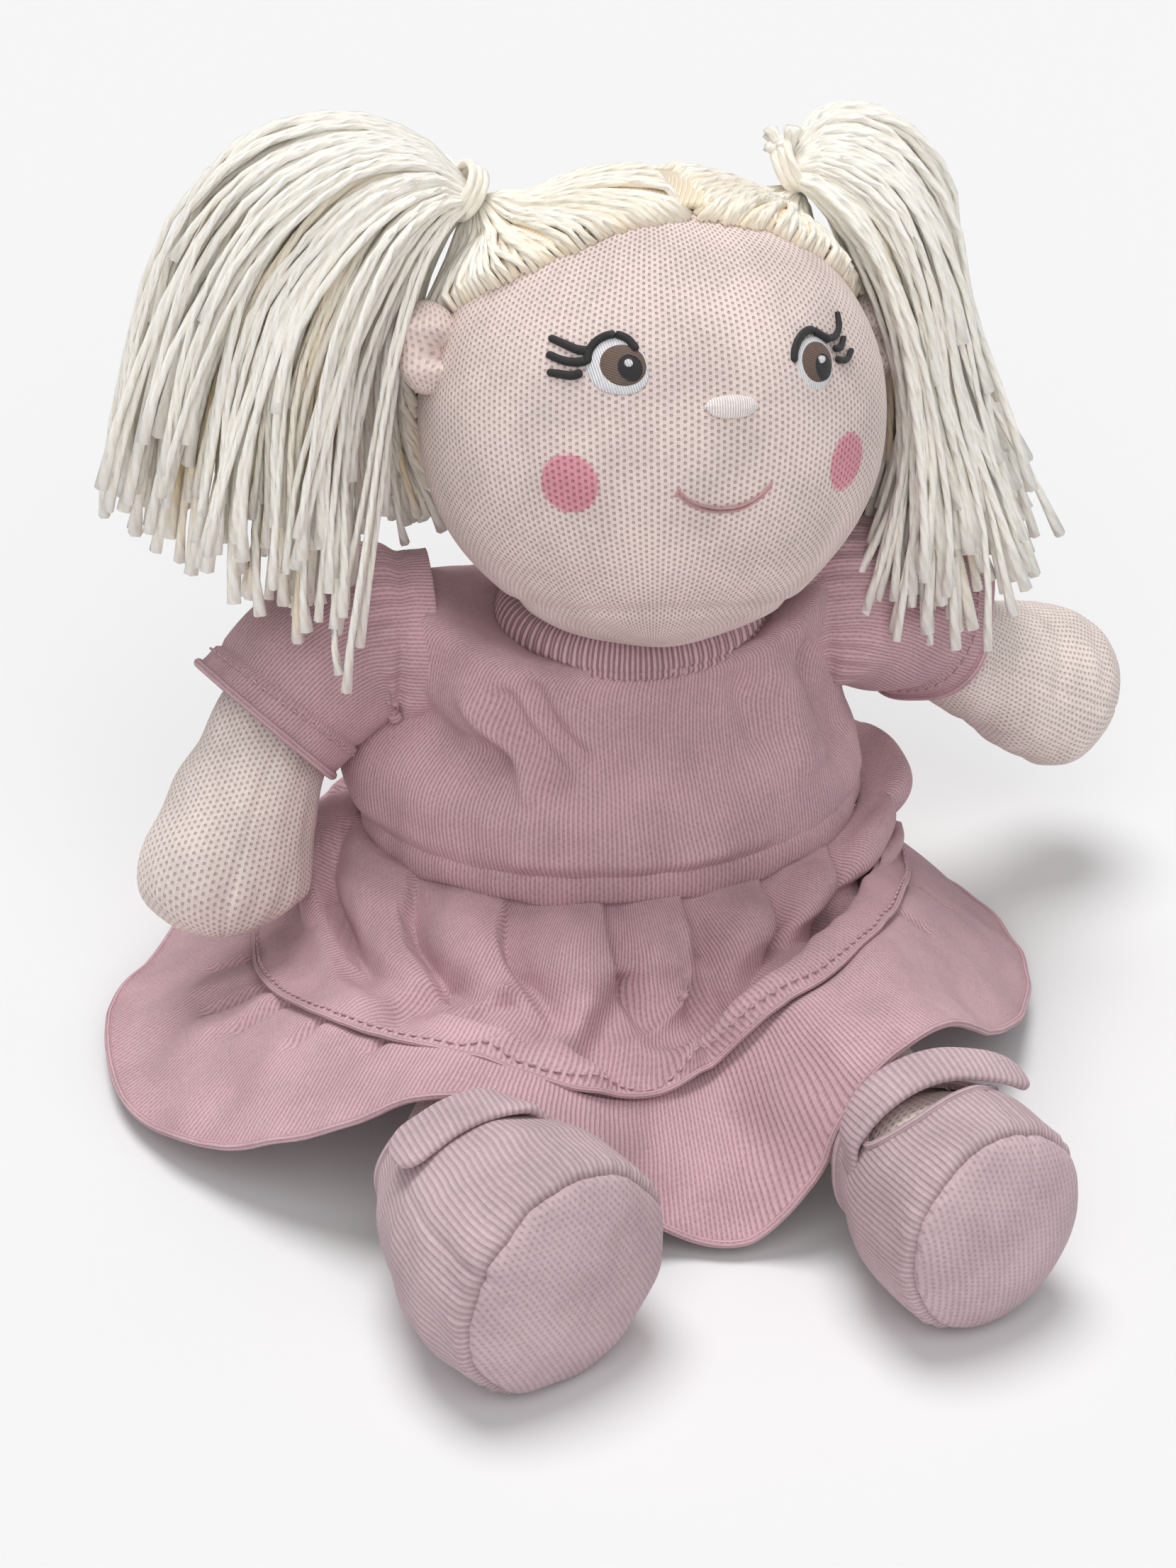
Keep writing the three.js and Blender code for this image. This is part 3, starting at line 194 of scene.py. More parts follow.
class DollColours(bpy.types.PropertyGroup):
    """Colours of the doll's fabrics and threads, as they look on a screen"""

    skin: colour_property("Skin", "Knit of the head and ears", (236, 218, 212))
    limb: colour_property("Limbs", "Knit of the arms, legs and body", (240, 226, 219))
    yarn: colour_property("Yarn", "Strands of the hair", (252, 249, 241))
    # A golden colour painted onto strands deep in the hair: painted shade, standing for the warm shade
    # between the strands
    yarn_painted_shade: colour_property("Yarn depth", "Strands inside the hair", (250, 222, 172))
    dress: colour_property("Dress", "Knit of the dress", (212, 175, 183))
    shoe: colour_property("Shoes", "Knit of the shoes", (205, 180, 186))
    cheek: colour_property("Cheeks", "Spots printed on the cheeks", (226, 132, 154))
    black: colour_property("Black thread", "Lids and lashes", (32, 29, 32))
    white: colour_property("White thread", "Whites of the eyes", (240, 240, 243))
    iris: colour_property("Brown thread", "Irises", (110, 90, 78))
    nose: colour_property("Nose thread", "Nose", (252, 242, 240))
    mouth: colour_property("Mouth thread", "Mouth", (222, 172, 174))


def sizes():
    return bpy.context.scene.doll_sizes


def linear(name):
    """A colour of the panel as the linear values that a shader takes"""
    shown = np.array(getattr(bpy.context.scene.doll_colours, name))
    value = np.where(shown <= 0.04045, shown / 12.92, ((shown + 0.055) / 1.055) ** 2.4)
    return (*map(float, value), 1.0)


# Curves and grids

def unit(vectors):
    """Vectors divided by their lengths along the last axis"""
    lengths = np.linalg.norm(vectors, axis=-1, keepdims=True)
    return vectors / np.maximum(lengths, 1e-9)


def ramp(value, low, high):
    """0 below low, 1 above high and an even S between them"""
    share = np.clip((value - low) / (high - low), 0, 1)
    return share * share * (3 - 2 * share)


def circle(count):
    """Angles evenly round a circle, from 0"""
    return np.linspace(0, 2 * np.pi, count, endpoint=False)


def arch(share):
    """The height of a half circle of radius 1 at a share of its radius from its middle"""
    return np.sqrt(np.clip(1 - share ** 2, 0, 1))


def hump(value, middle, width):
    """A bell that is 1 at the middle and falls to a third at one width"""
    return np.exp(-((value - middle) / width) ** 2)


def cubic(start, stop, rise, fall, t):
    """Hermite's cubic from start to stop as t goes from 0 to 1, with the slopes rise and fall there"""
    return ((2 * t**3 - 3 * t**2 + 1) * start + (t**3 - 2 * t**2 + t) * rise
            + (3 * t**2 - 2 * t**3) * stop + (t**3 - t**2) * fall)


def eased(values, share):
    """Catmull-Rom through evenly spaced values: at share 0 the first and at share 1 the last"""
    values = np.asarray(values, float)
    steps = len(values) - 1
    at = np.clip(np.asarray(share, float) * steps, 0, steps)
    k = np.minimum(at.astype(int), steps - 1)
    t = at - k
    before, start, stop, after = (values[np.clip(k + i, 0, steps)] for i in (-1, 0, 1, 2))
    if values.ndim > 1:
        t = t[..., None]
    return cubic(start, stop, (stop - before) / 2, (after - start) / 2, t)


def lengths_along(paths):
    """How far each point of a path, or of each of several paths, lies from its start"""
    steps = np.linalg.norm(np.diff(paths, axis=-2), axis=-1)
    return np.concatenate([np.zeros((*steps.shape[:-1], 1)), np.cumsum(steps, axis=-1)], axis=-1)


def places_at(at, lengths, places):
    """Places, or other values, taken evenly between those of a path, at distances along it"""
    return np.stack([np.interp(at, lengths, column) for column in places.T], axis=1)


def curve_through(points, fine=40):
    """A centripetal Catmull-Rom curve: dense places on it, their share of the control points and lengths"""
    points = np.asarray(points, float)
    padded = np.vstack([2 * points[0] - points[1], points, 2 * points[-1] - points[-2]])
    places = []
    t = np.linspace(0, 1, fine, endpoint=False)[:, None]
    for k in range(len(points) - 1):
        p0, p1, p2, p3 = padded[k:k + 4]
        d0, d1, d2 = (max(np.linalg.norm(b - a) ** 0.5, 1e-4) for a, b in ((p0, p1), (p1, p2), (p2, p3)))
        m1 = ((p1 - p0) / d0 - (p2 - p0) / (d0 + d1) + (p2 - p1) / d1) * d1
        m2 = ((p2 - p1) / d1 - (p3 - p1) / (d1 + d2) + (p3 - p2) / d2) * d1
        places.append(cubic(p1, p2, m1, m2, t))
    places = np.vstack([*places, points[-1:]])
    return places, np.linspace(0, 1, len(places)), lengths_along(places)


def polyline_distance(across, along, path):
    """The distance of each place of a grid from a line of points, as the least of its parts' distances"""
    place = np.stack(np.broadcast_arrays(across, along), axis=-1)
    path = np.asarray(path, float)
    nearest = np.full(place.shape[:-1], np.inf)
    for start, stop in zip(path[:-1], path[1:]):
        way = stop - start
        share = np.clip(((place - start) @ way) / (way @ way), 0, 1)
        nearest = np.minimum(nearest, np.linalg.norm(place - start - share[..., None] * way, axis=-1))
    return nearest


def folds_along(across, along, folds):
    """Soft folds: along each fold's path a bell of its width and height (below 0 a hollow)"""
    lift = 0.0
    for path, wide, high in folds:
        smooth = curve_through(path, 4)[0]
        lift = lift + high * hump(polyline_distance(across, along, smooth), 0, wide)
    return lift


def stuffed(line, widths, heights, side, start_cap=0.0, end_cap=0.0, grow=0.0, rows=60, around=96):
    """A swelling tube: at each place along the line an oval, half as wide as widths along the side
    direction and half as high as heights across it. A cap shortens the oval as a quarter circle does.
    Returns the grid of points, the distance along and the angle round of its rows and columns."""
    places, shares, lengths = curve_through(line)
    length = lengths[-1]
    start = start_cap + grow if start_cap else 0.0
    stop = end_cap + grow if end_cap else 0.0
    whole = length + (grow if start_cap else 0) + (grow if end_cap else 0)
    cap_rows = 14
    parts = []
    if start:
        parts.append(start * (1 - np.cos(np.linspace(0, np.pi / 2, cap_rows, endpoint=False))))
    parts.append(np.linspace(start, whole - stop, rows))
    if stop:
        parts.append(whole - stop * (1 - np.cos(np.linspace(np.pi / 2, 0, cap_rows + 1)[1:])))
    place = np.concatenate(parts)
    along = place - (grow if start_cap else 0)
    inside = np.clip(along, 0, length)
    t = np.interp(inside, lengths, shares)
    middle = places_at(inside, lengths, places)
    tangent = unit(np.stack([np.gradient(column, lengths) for column in places.T], axis=1))
    tangent = unit(places_at(inside, lengths, tangent))
    middle = middle + tangent * (along - inside)[:, None]
    factor = np.ones_like(place)
    if start:
        factor = np.where(place < start, arch(1 - place / start), factor)
    if stop:
        left = whole - place
        factor = np.where(left < stop, arch(1 - left / stop), factor)
    side = np.asarray(side, float)
    wide = unit(side - tangent * (tangent @ side)[:, None])
    high = np.cross(tangent, wide)
    angle = circle(around)
    w = ((eased(widths, t) + grow) * factor)[:, None, None]
    h = ((eased(heights, t) + grow) * factor)[:, None, None]
    grid = (middle[:, None] + wide[:, None] * w * np.cos(angle)[None, :, None]
            + high[:, None] * h * np.sin(angle)[None, :, None])
    return grid, place, angle


def lifted(grid, amount, inside):
    """A ring's grid moved along its normals, the cross products of its steps round it and down its rows,
    which point away from the inside point"""
    down = np.gradient(grid, axis=0)
    across = (np.roll(grid, -1, axis=1) - np.roll(grid, 1, axis=1)) / 2
    normals = unit(np.cross(across, down))
    outward = np.sign((normals * (grid - np.asarray(inside, float))).sum(axis=-1).mean())
    return grid + normals * outward * np.asarray(amount)[..., None]


def lifted_tube(grid, amount):
    """A tube's grid moved away from the middle of each of its rows"""
    outward = unit(grid - grid.mean(axis=1, keepdims=True))
    return grid + outward * np.asarray(amount)[..., None]


def soft_noise(points, size, seed):
    """Gentle lumps from -1 to 1: a mean of sine waves in random directions, about size apart"""
    waves = 7
    draw = np.random.default_rng(seed)
    directions = unit(draw.normal(size=(waves, 3))) * (2 * np.pi / size) * draw.uniform(0.6, 1.5, (waves, 1))
    phases = draw.uniform(0, 2 * np.pi, waves)
    return np.sin(points @ directions.T + phases).sum(axis=-1) / waves * 1.8


# Meshes

def new_object(name, points, faces, uvs, material):
    """A mesh object from points in millimetres, arrays of faces with equal corner counts, and the
    faces' corner coordinates on the fabric"""
    mesh = bpy.data.meshes.new(name)
    corners = np.concatenate([f.ravel() for f in faces]).astype(np.int32)
    counts = np.concatenate([np.full(len(f), f.shape[1]) for f in faces])
    starts = np.concatenate([[0], np.cumsum(counts)[:-1]]).astype(np.int32)
    mesh.vertices.add(len(points))
    mesh.vertices.foreach_set("co", (np.asarray(points) * MM).astype(np.float32).ravel())
    mesh.loops.add(len(corners))
    mesh.loops.foreach_set("vertex_index", corners)
    mesh.polygons.add(len(starts))
    mesh.polygons.foreach_set("loop_start", starts)
    mesh.update(calc_edges=True)
    layer = mesh.uv_layers.new(name="fabric")
    layer.data.foreach_set("uv", np.concatenate([u.reshape(-1, 2) for u in uvs]).astype(np.float32).ravel())
    mesh.polygons.foreach_set("use_smooth", np.ones(len(starts), bool))
    mesh.materials.append(material)
    mesh.update()
    obj = bpy.data.objects.new(name, mesh)
    bpy.context.scene.collection.objects.link(obj)
    return obj


def grid_faces(rows, columns, ring=True):
    """Corner numbers of a grid's quads, and their row and column on the unrolled grid"""
    r, c = np.meshgrid(np.arange(rows - 1), np.arange(columns if ring else columns - 1), indexing="ij")
    r, c = r.ravel(), c.ravel()
    spots = [(r, c), (r, c + 1), (r + 1, c + 1), (r + 1, c)]
    faces = np.stack([row * columns + column % columns for row, column in spots], axis=1)
    return faces, spots


def grid_object(name, grid, fabric, material, ring=True, start_pole=False, end_pole=False, facing=None):
    """An object from a grid of points. fabric holds each unrolled corner's place on the fabric, one
    column more than a ring's grid. A pole row is drawn together in one point. Faces look away from
    the closed form's inside, or towards the facing direction on an open one."""
    rows, columns = grid.shape[:2]
    points = grid.reshape(-1, 3).copy()
    faces, spots = grid_faces(rows, columns, ring)
    uv = np.stack([fabric[row, column] for row, column in spots], axis=1)
    keep = np.ones(len(faces), bool)
    extra_faces, extra_uvs = [], []
    row_of = spots[0][0]
    if start_pole:
        keep &= row_of > 0
        points[0] = grid[0].mean(axis=0)
        first = faces[row_of == 0]
        extra_faces.append(np.stack([np.zeros(len(first), int), first[:, 2], first[:, 3]], axis=1))
        extra_uvs.append(uv[row_of == 0][:, [0, 2, 3]])
    if end_pole:
        keep &= row_of < rows - 2
        end = (rows - 1) * columns
        points[end] = grid[-1].mean(axis=0)
        last = faces[row_of == rows - 2]
        extra_faces.append(np.stack([last[:, 0], last[:, 1], np.full(len(last), end)], axis=1))
        extra_uvs.append(uv[row_of == rows - 2][:, [0, 1, 2]])
    all_faces = [faces[keep], *extra_faces]
    all_uvs = [uv[keep], *extra_uvs]
    used = np.unique(np.concatenate([f.ravel() for f in all_faces]))
    renumber = np.full(len(points), -1)
    renumber[used] = np.arange(len(used))
    points = points[used]
    all_faces = [renumber[f] for f in all_faces]
    triangles = np.concatenate([f[:, [0, i, i + 1]] for f in all_faces for i in range(1, f.shape[1] - 1)])
    a, b, c = (points[triangles[:, i]] for i in range(3))
    if facing is None:
        middle = points.mean(axis=0)
        turned = ((a - middle) * np.cross(b - middle, c - middle)).sum() < 0
    else:
        turned = (np.cross(b - a, c - a) @ np.asarray(facing, float)).sum() < 0
    if turned:
        all_faces = [f[:, ::-1] for f in all_faces]
        all_uvs = [u[:, ::-1] for u in all_uvs]
    return new_object(name, points, all_faces, all_uvs, material)


def closed_object(name, grid, fabric, material):
    """An object from a ring's grid that is drawn together at both ends"""
    return grid_object(name, grid, fabric, material, start_pole=True, end_pole=True)


def stitches_of(grid, rows_at, wales, course=1.0):
    """Places on the fabric for a ring grid: so many wales round it, and its rows' places in courses"""
    across = np.linspace(0, wales, grid.shape[1] + 1)
    return np.stack(np.meshgrid(across, np.asarray(rows_at) / course), axis=-1)


def wales_round(radius, pitch):
    """The even number of wales that goes round a form of this radius"""
    return 2 * round(math.pi * radius / (pitch / MM))


def reshape(obj, change):
    """Opens an object's mesh, lets a function change it and writes it back"""
    shape = bmesh.new()
    shape.from_mesh(obj.data)
    change(shape)
    shape.to_mesh(obj.data)
    shape.free()


def close_ends(obj):
    """Closes an open tube with one face over each of its open ends"""
    def close(shape):
        rim = [edge for edge in shape.edges if edge.is_boundary]
        bmesh.ops.holes_fill(shape, edges=rim, sides=0)
        bmesh.ops.recalc_face_normals(shape, faces=shape.faces)
    reshape(obj, close)


def merge_doubles(obj):
    """Makes one point of those that meet, as where a ring closes, and turns its faces outwards"""
    def merge(shape):
        bmesh.ops.remove_doubles(shape, verts=shape.verts, dist=1e-6)
        bmesh.ops.recalc_face_normals(shape, faces=shape.faces)
    reshape(obj, merge)


def finish(obj, body, slot, *nodes):
    """The piece rides on its body and stands for the nodes, which it hides. The slot is not used."""
    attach(obj, body)
    if nodes:
        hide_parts(*nodes)
    return obj


def thicken(obj, thickness):
    """Gives an open sheet its thickness, inwards from its face"""
    wall = obj.modifiers.new("thickness", "SOLIDIFY")
    wall.thickness = thickness * MM
    wall.offset = -1.0
    return obj


# Materials

def node(tree, kind, inputs=None, **settings):
    """A node of a kind with its settings, and its inputs' values or links"""
    made = tree.nodes.new(kind)
    for name, value in settings.items():
        setattr(made, name, value)
    for key, value in (inputs or {}).items():
        if isinstance(value, bpy.types.NodeSocket):
            tree.links.new(value, made.inputs[key])
        else:
            made.inputs[key].default_value = value
    return made


def maths(tree, operation, *values):
    """A sum, product or other function of one or two values"""
    return node(tree, "ShaderNodeMath", dict(enumerate(values)), operation=operation).outputs[0]


def stretched(tree, place, factors):
    """A place multiplied by a factor for each of its ways"""
    return node(tree, "ShaderNodeVectorMath", {0: place, 1: factors}, operation="MULTIPLY").outputs[0]


def between(tree, value, low, high, to_low=0.0, to_high=1.0):
    """A value taken smoothly from the range low to high onto another range"""
    ends = {0: value, 1: low, 2: high, 3: to_low, 4: to_high}
    return node(tree, "ShaderNodeMapRange", ends, interpolation_type="SMOOTHSTEP").outputs[0]


def mixed(tree, share, first, second, blend="MIX"):
    """One colour laid over another by a share"""
    return node(tree, "ShaderNodeMix", {0: share, 6: first, 7: second},
                data_type="RGBA", blend_type=blend).outputs[2]


def shaded(tree, colour, factors):
    """A colour multiplied by another"""
    return mixed(tree, 1.0, colour, factors, "MULTIPLY")


def fabric_place(tree):
    """The place on the unrolled fabric, in stitches or in millimetres"""
    return node(tree, "ShaderNodeUVMap", uv_map="fabric").outputs[0]


def object_place(tree):
    """The place in the object, in metres"""
    return node(tree, "ShaderNodeTexCoord").outputs["Object"]


def noise_at(tree, place, scale, detail=2.0, roughness=0.5):
    return node(tree, "ShaderNodeTexNoise",
                {"Vector": place, "Scale": scale, "Detail": detail, "Roughness": roughness}).outputs[0]


def effect_group(name, values, made, build):
    """A shader node group that takes a place and named values and gives named outputs, built once"""
    tree = bpy.data.node_groups.get(name)
    if tree:
        return tree
    tree = bpy.data.node_groups.new(name, "ShaderNodeTree")
    tree.interface.new_socket("Place", in_out="INPUT", socket_type="NodeSocketVector")
    for label, default in values.items():
        socket = tree.interface.new_socket(label, in_out="INPUT", socket_type="NodeSocketFloat")
        socket.default_value = default
    for label in made:
        tree.interface.new_socket(label, in_out="OUTPUT", socket_type="NodeSocketFloat")
    entry = tree.nodes.new("NodeGroupInput")
    leave = tree.nodes.new("NodeGroupOutput")
    for label, value in build(tree, entry.outputs).items():
        tree.links.new(value, leave.inputs[label])
    return tree


def build_stitches(tree, given):
    """Plain knit. A column of holes lies where |cos(pi u)| is high, and its holes where cos(2 pi v) has the
    sign of cos(pi u), so that each column is half a course off its neighbours. A groove runs up each
    column. The place is shaken a little first."""
    shake = noise_at(tree, stretched(tree, given["Place"], (0.16, 0.16, 0.16)), 1.0)
    split = node(tree, "ShaderNodeSeparateXYZ", {0: given["Place"]})
    shift = maths(tree, "MULTIPLY", maths(tree, "SUBTRACT", shake, 0.5), given["Shake"])
    across, along = (maths(tree, "ADD", split.outputs[way], shift) for way in (0, 1))
    column = maths(tree, "COSINE", maths(tree, "MULTIPLY", across, math.pi))
    course = maths(tree, "COSINE", maths(tree, "MULTIPLY", along, 2 * math.pi))
    width = maths(tree, "ABSOLUTE", column)
    height = between(tree, maths(tree, "MULTIPLY", maths(tree, "SIGN", column), course), -0.1, 0.85)
    holes = maths(tree, "MULTIPLY", between(tree, width, 0.66, 0.97), height)
    groove = between(tree, width, 0.6, 1.0)
    shade = maths(tree, "MAXIMUM", maths(tree, "MULTIPLY", holes, given["Holes"]),
                  maths(tree, "MULTIPLY", groove, given["Grooves"]))
    return {"Shade": shade, "Relief": maths(tree, "SUBTRACT", 1.0, shade)}


def build_fuzz(tree, given):
    """Fibres and uneven dye: a fine noise for the height, a broad and a middling one for the tone"""
    fine = noise_at(tree, given["Place"], 2600.0, 3.0, 0.7)
    broad = noise_at(tree, given["Place"], 55.0, 2.0)
    middling = noise_at(tree, given["Place"], 950.0, 2.0)
    tone = maths(tree, "ADD", maths(tree, "MULTIPLY", broad, 0.6), maths(tree, "MULTIPLY", middling, 0.4))
    return {"Height": fine, "Tone": tone}


def build_twist(tree, given):
    """A plied strand: stripes that wind round it, sin(2 pi (turns round + length / pitch)) for each ply"""
    split = node(tree, "ShaderNodeSeparateXYZ", {0: given["Place"]})
    turns = maths(tree, "ADD", maths(tree, "MULTIPLY", split.outputs[0], given["Plies"]),
                  maths(tree, "DIVIDE", split.outputs[1], given["Pitch"]))
    wave = maths(tree, "COSINE", maths(tree, "MULTIPLY", turns, 2 * math.pi))
    return {"Relief": between(tree, wave, -1.0, 0.4), "Shade": between(tree, wave, -1.0, -0.3, 1.0, 0.0)}


# Each group's name, its values and their defaults, what it gives, and the function that builds it
GROUPS = {
    "stitches": ("plain knit stitches", {"Holes": 0.9, "Grooves": 0.2, "Shake": 0.5}, ["Shade", "Relief"],
                 build_stitches),
    "fibres": ("fibres and uneven dye", {}, ["Height", "Tone"], build_fuzz),
    "twist": ("plied twist", {"Plies": 1.0, "Pitch": 3.0}, ["Relief", "Shade"], build_twist),
}


def grouped(tree, group, **inputs):
    """A group placed in a material: its outputs for these inputs"""
    return node(tree, "ShaderNodeGroup", inputs, node_tree=effect_group(*GROUPS[group])).outputs


def fibres_of(tree):
    return grouped(tree, "fibres", Place=object_place(tree))


def new_material(name, roughness, sheen=0.0, metallic=0.0, specular=0.2):
    """A material, its node tree and its Principled shader with the values that are the same all over"""
    material = bpy.data.materials.new(name)
    material.use_nodes = True
    tree = material.node_tree
    shader = tree.nodes["Principled BSDF"]
    shader.inputs["Roughness"].default_value = roughness
    shader.inputs["Metallic"].default_value = metallic
    shader.inputs["Specular IOR Level"].default_value = specular
    shader.inputs["Sheen Weight"].default_value = sheen
    shader.inputs["Sheen Roughness"].default_value = 0.5
    return material, tree, shader


def toned(tree, colour, tone, low=0.84, high=1.09):
    """A colour made a little darker and lighter by a tone from 0 to 1"""
    brightness = {channel: between(tree, tone, 0.3, 0.7, low, high) for channel in range(3)}
    return shaded(tree, colour, node(tree, "ShaderNodeCombineColor", brightness).outputs[0])


def surfaced(tree, shader, colour, height, depth):
    """Gives the shader its colour, and a relief that is depth millimetres deep where the height is 1"""
    relief = node(tree, "ShaderNodeBump", {"Height": height, "Distance": depth * MM, "Strength": 1.0})
    tree.links.new(colour, shader.inputs["Base Color"])
    tree.links.new(relief.outputs[0], shader.inputs["Normal"])


def knit_material(name, colour, hole_share=0.62, holes=0.9, grooves=0.25, depth=0.3, shake=0.5, paint=None):
    """Plain knit cloth: its own colour on the threads, painted shade in the holes and grooves between them,
    fibres on top. hole_share is the holes' painted shade against the threads'. paint may add a printed
    colour."""
    material, tree, shader = new_material(name, roughness=0.92, sheen=0.12)
    stitches = grouped(tree, "stitches", Place=fabric_place(tree), Holes=holes, Grooves=grooves,
                       Shake=shake)
    fibres = fibres_of(tree)
    threads = paint(tree, colour) if paint else colour
    # Painted shade: the holes and grooves take the threads' colour, darkened and warmed
    dark = (hole_share, hole_share * 0.93, hole_share * 0.9, 1.0)
    base = mixed(tree, stitches["Shade"], threads, shaded(tree, threads, dark))
    height = maths(tree, "ADD", stitches["Relief"], maths(tree, "MULTIPLY", fibres["Height"], 0.35))
    surfaced(tree, shader, toned(tree, base, fibres["Tone"]), height, depth)
    return material


def satin_material(name, colour, pitch=0.55, roughness=0.5):
    """Satin stitches: straight threads side by side, one for each pitch along the fabric's first way"""
    material, tree, shader = new_material(name, roughness=roughness, sheen=0.1, specular=0.35)
    threads = grouped(tree, "twist", Place=fabric_place(tree), Plies=1.0 / pitch, Pitch=40.0)
    fibres = fibres_of(tree)
    # Painted shade: the twist's Shade darkens the colour between the threads
    base = mixed(tree, threads["Shade"], colour, shaded(tree, colour, (0.72, 0.7, 0.7, 1.0)))
    surfaced(tree, shader, toned(tree, base, fibres["Tone"]), threads["Relief"], 0.16)
    return material


def yarn_material(name):
    """Soft plied cotton, whiter on the outside and golden inside the hair, where the golden is painted shade:
    the mesh's depth attribute mixes the two, and the grooves between the plies are darker by painted shade"""
    material, tree, shader = new_material(name, roughness=0.85, sheen=0.3)
    place = fabric_place(tree)
    twist = grouped(tree, "twist", Place=place, Plies=2.0, Pitch=8.5)
    fibres = fibres_of(tree)
    # The depth attribute mixes the golden painted shade into the yarn's colour
    depth = node(tree, "ShaderNodeAttribute", attribute_name="depth").outputs["Fac"]
    colour = mixed(tree, depth, linear("yarn"), linear("yarn_painted_shade"))
    # Painted shade: the grooves between the plies are darkened and warmed
    groove = maths(tree, "MULTIPLY", twist["Shade"], 0.3)
    base = mixed(tree, groove, colour, shaded(tree, colour, (0.8, 0.72, 0.6, 1.0)))
    hairs = noise_at(tree, stretched(tree, place, (9.0, 0.35, 1.0)), 1.0)
    height = maths(tree, "ADD", twist["Relief"], maths(tree, "MULTIPLY", hairs, 0.9))
    surfaced(tree, shader, toned(tree, base, fibres["Tone"], 0.96, 1.03), height, 0.2)
    return material


def metal_material(name, colour, roughness):
    """Turned and brushed metal, a little uneven in its polish"""
    material, tree, shader = new_material(name, roughness=roughness, metallic=1.0, specular=0.5)
    place = object_place(tree)
    scratches = noise_at(tree, stretched(tree, place, (1.0, 0.04, 1.0)), 2200.0, 3.0)
    worn = between(tree, noise_at(tree, place, 160.0, 3.0), 0.35, 0.65, roughness * 0.8, roughness * 1.4)
    tree.links.new(worn, shader.inputs["Roughness"])
    dark = tuple(c * 0.78 for c in colour[:3]) + (1.0,)
    surfaced(tree, shader, mixed(tree, between(tree, scratches, 0.35, 0.7), dark, colour), scratches, 0.02)
    return material


def plastic_material(name, colour):
    """Moulded plastic with a fine grain and faint flow marks"""
    material, tree, shader = new_material(name, roughness=0.45, specular=0.5)
    fibres = fibres_of(tree)
    surfaced(tree, shader, toned(tree, colour, fibres["Tone"], 0.95, 1.03), fibres["Height"], 0.03)
    return material


# Head

# The spots on the cheeks: x and z of their middles in the head's own frame, and their radius
CHEEKS = [(-35.4, -14.6), (33.4, -11.5)]
CHEEK_RADIUS = 7.2


def turn_about(axis, angle):
    """A turning matrix about one axis"""
    c, s = math.cos(angle), math.sin(angle)
    return {"x": np.array([(1, 0, 0), (0, c, -s), (0, s, c)]),
            "y": np.array([(c, 0, s), (0, 1, 0), (-s, 0, c)]),
            "z": np.array([(c, -s, 0), (s, c, 0), (0, 0, 1)])}[axis]


def ball_grid(rows, around):
    """A ball of radius 1 as a grid: sin t cos a, sin t sin a and cos t, with t from its top and a round it"""
    t = np.linspace(0, np.pi, rows)[:, None]
    a = circle(around)[None, :]
    return np.stack([np.sin(t) * np.cos(a), np.sin(t) * np.sin(a), np.cos(t) * np.ones_like(a)], axis=-1)


def head_turn():
    """The head's turning as a matrix: it leans to its side first, then tilts back, then turns"""
    return turn_about("z", HEAD_TURN) @ turn_about("x", HEAD_TILT) @ turn_about("y", HEAD_ROLL)


def on_head(points):
    """Places in the head's own frame moved to where the head is"""
    return HEAD_CENTRE + np.asarray(points, float) @ head_turn().T


def cheek_paint(tree, colour):
    """Round spots printed on the cheeks, with edges that step from stitch to stitch: the distance from
    each spot's middle is taken from the place in the head's own frame, snapped to the stitches"""
    head_frame = {"Vector": object_place(tree), "Location": tuple(HEAD_CENTRE * MM),
                  "Rotation": rotation_of(head_turn())}
    own = node(tree, "ShaderNodeMapping", head_frame, vector_type="TEXTURE").outputs[0]
    stitch = (0.9 * MM, 0.1 * MM, 0.95 * MM)
    snapped = node(tree, "ShaderNodeVectorMath", {0: own, 1: stitch}, operation="SNAP").outputs[0]
    for x, z in CHEEKS:
        depth = math.sqrt(1 - (x / HEAD_RADII[0]) ** 2 - (z / HEAD_RADII[2]) ** 2)
        middle = (x * MM, -HEAD_RADII[1] * depth * MM, z * MM)
        away = node(tree, "ShaderNodeVectorMath", {0: snapped, 1: middle}, operation="DISTANCE")
        radius = CHEEK_RADIUS * MM
        spot = between(tree, away.outputs["Value"], radius * 0.92, radius * 1.06, 0.78, 0.0)
        colour = mixed(tree, spot, colour, linear("cheek"))
    return colour


def rotation_of(turn):
    """The XYZ angles of a turning matrix, as a Mapping node takes them"""
    return (math.atan2(turn[2, 1], turn[2, 2]), math.asin(-turn[2, 0]), math.atan2(turn[1, 0], turn[0, 0]))


def head_surface(x, z, lift=0.0):
    """Places on the front of the head from their x and z in its own frame, moved out by lift"""
    x, z = np.asarray(x, float), np.asarray(z, float)
    depth = np.sqrt(np.clip(1 - (x / HEAD_RADII[0]) ** 2 - (z / HEAD_RADII[2]) ** 2, 0, 1))
    place = np.stack([x, -HEAD_RADII[1] * depth, z], axis=-1)
    return on_head(place + unit(place / HEAD_RADII ** 2) * np.asarray(lift)[..., None])


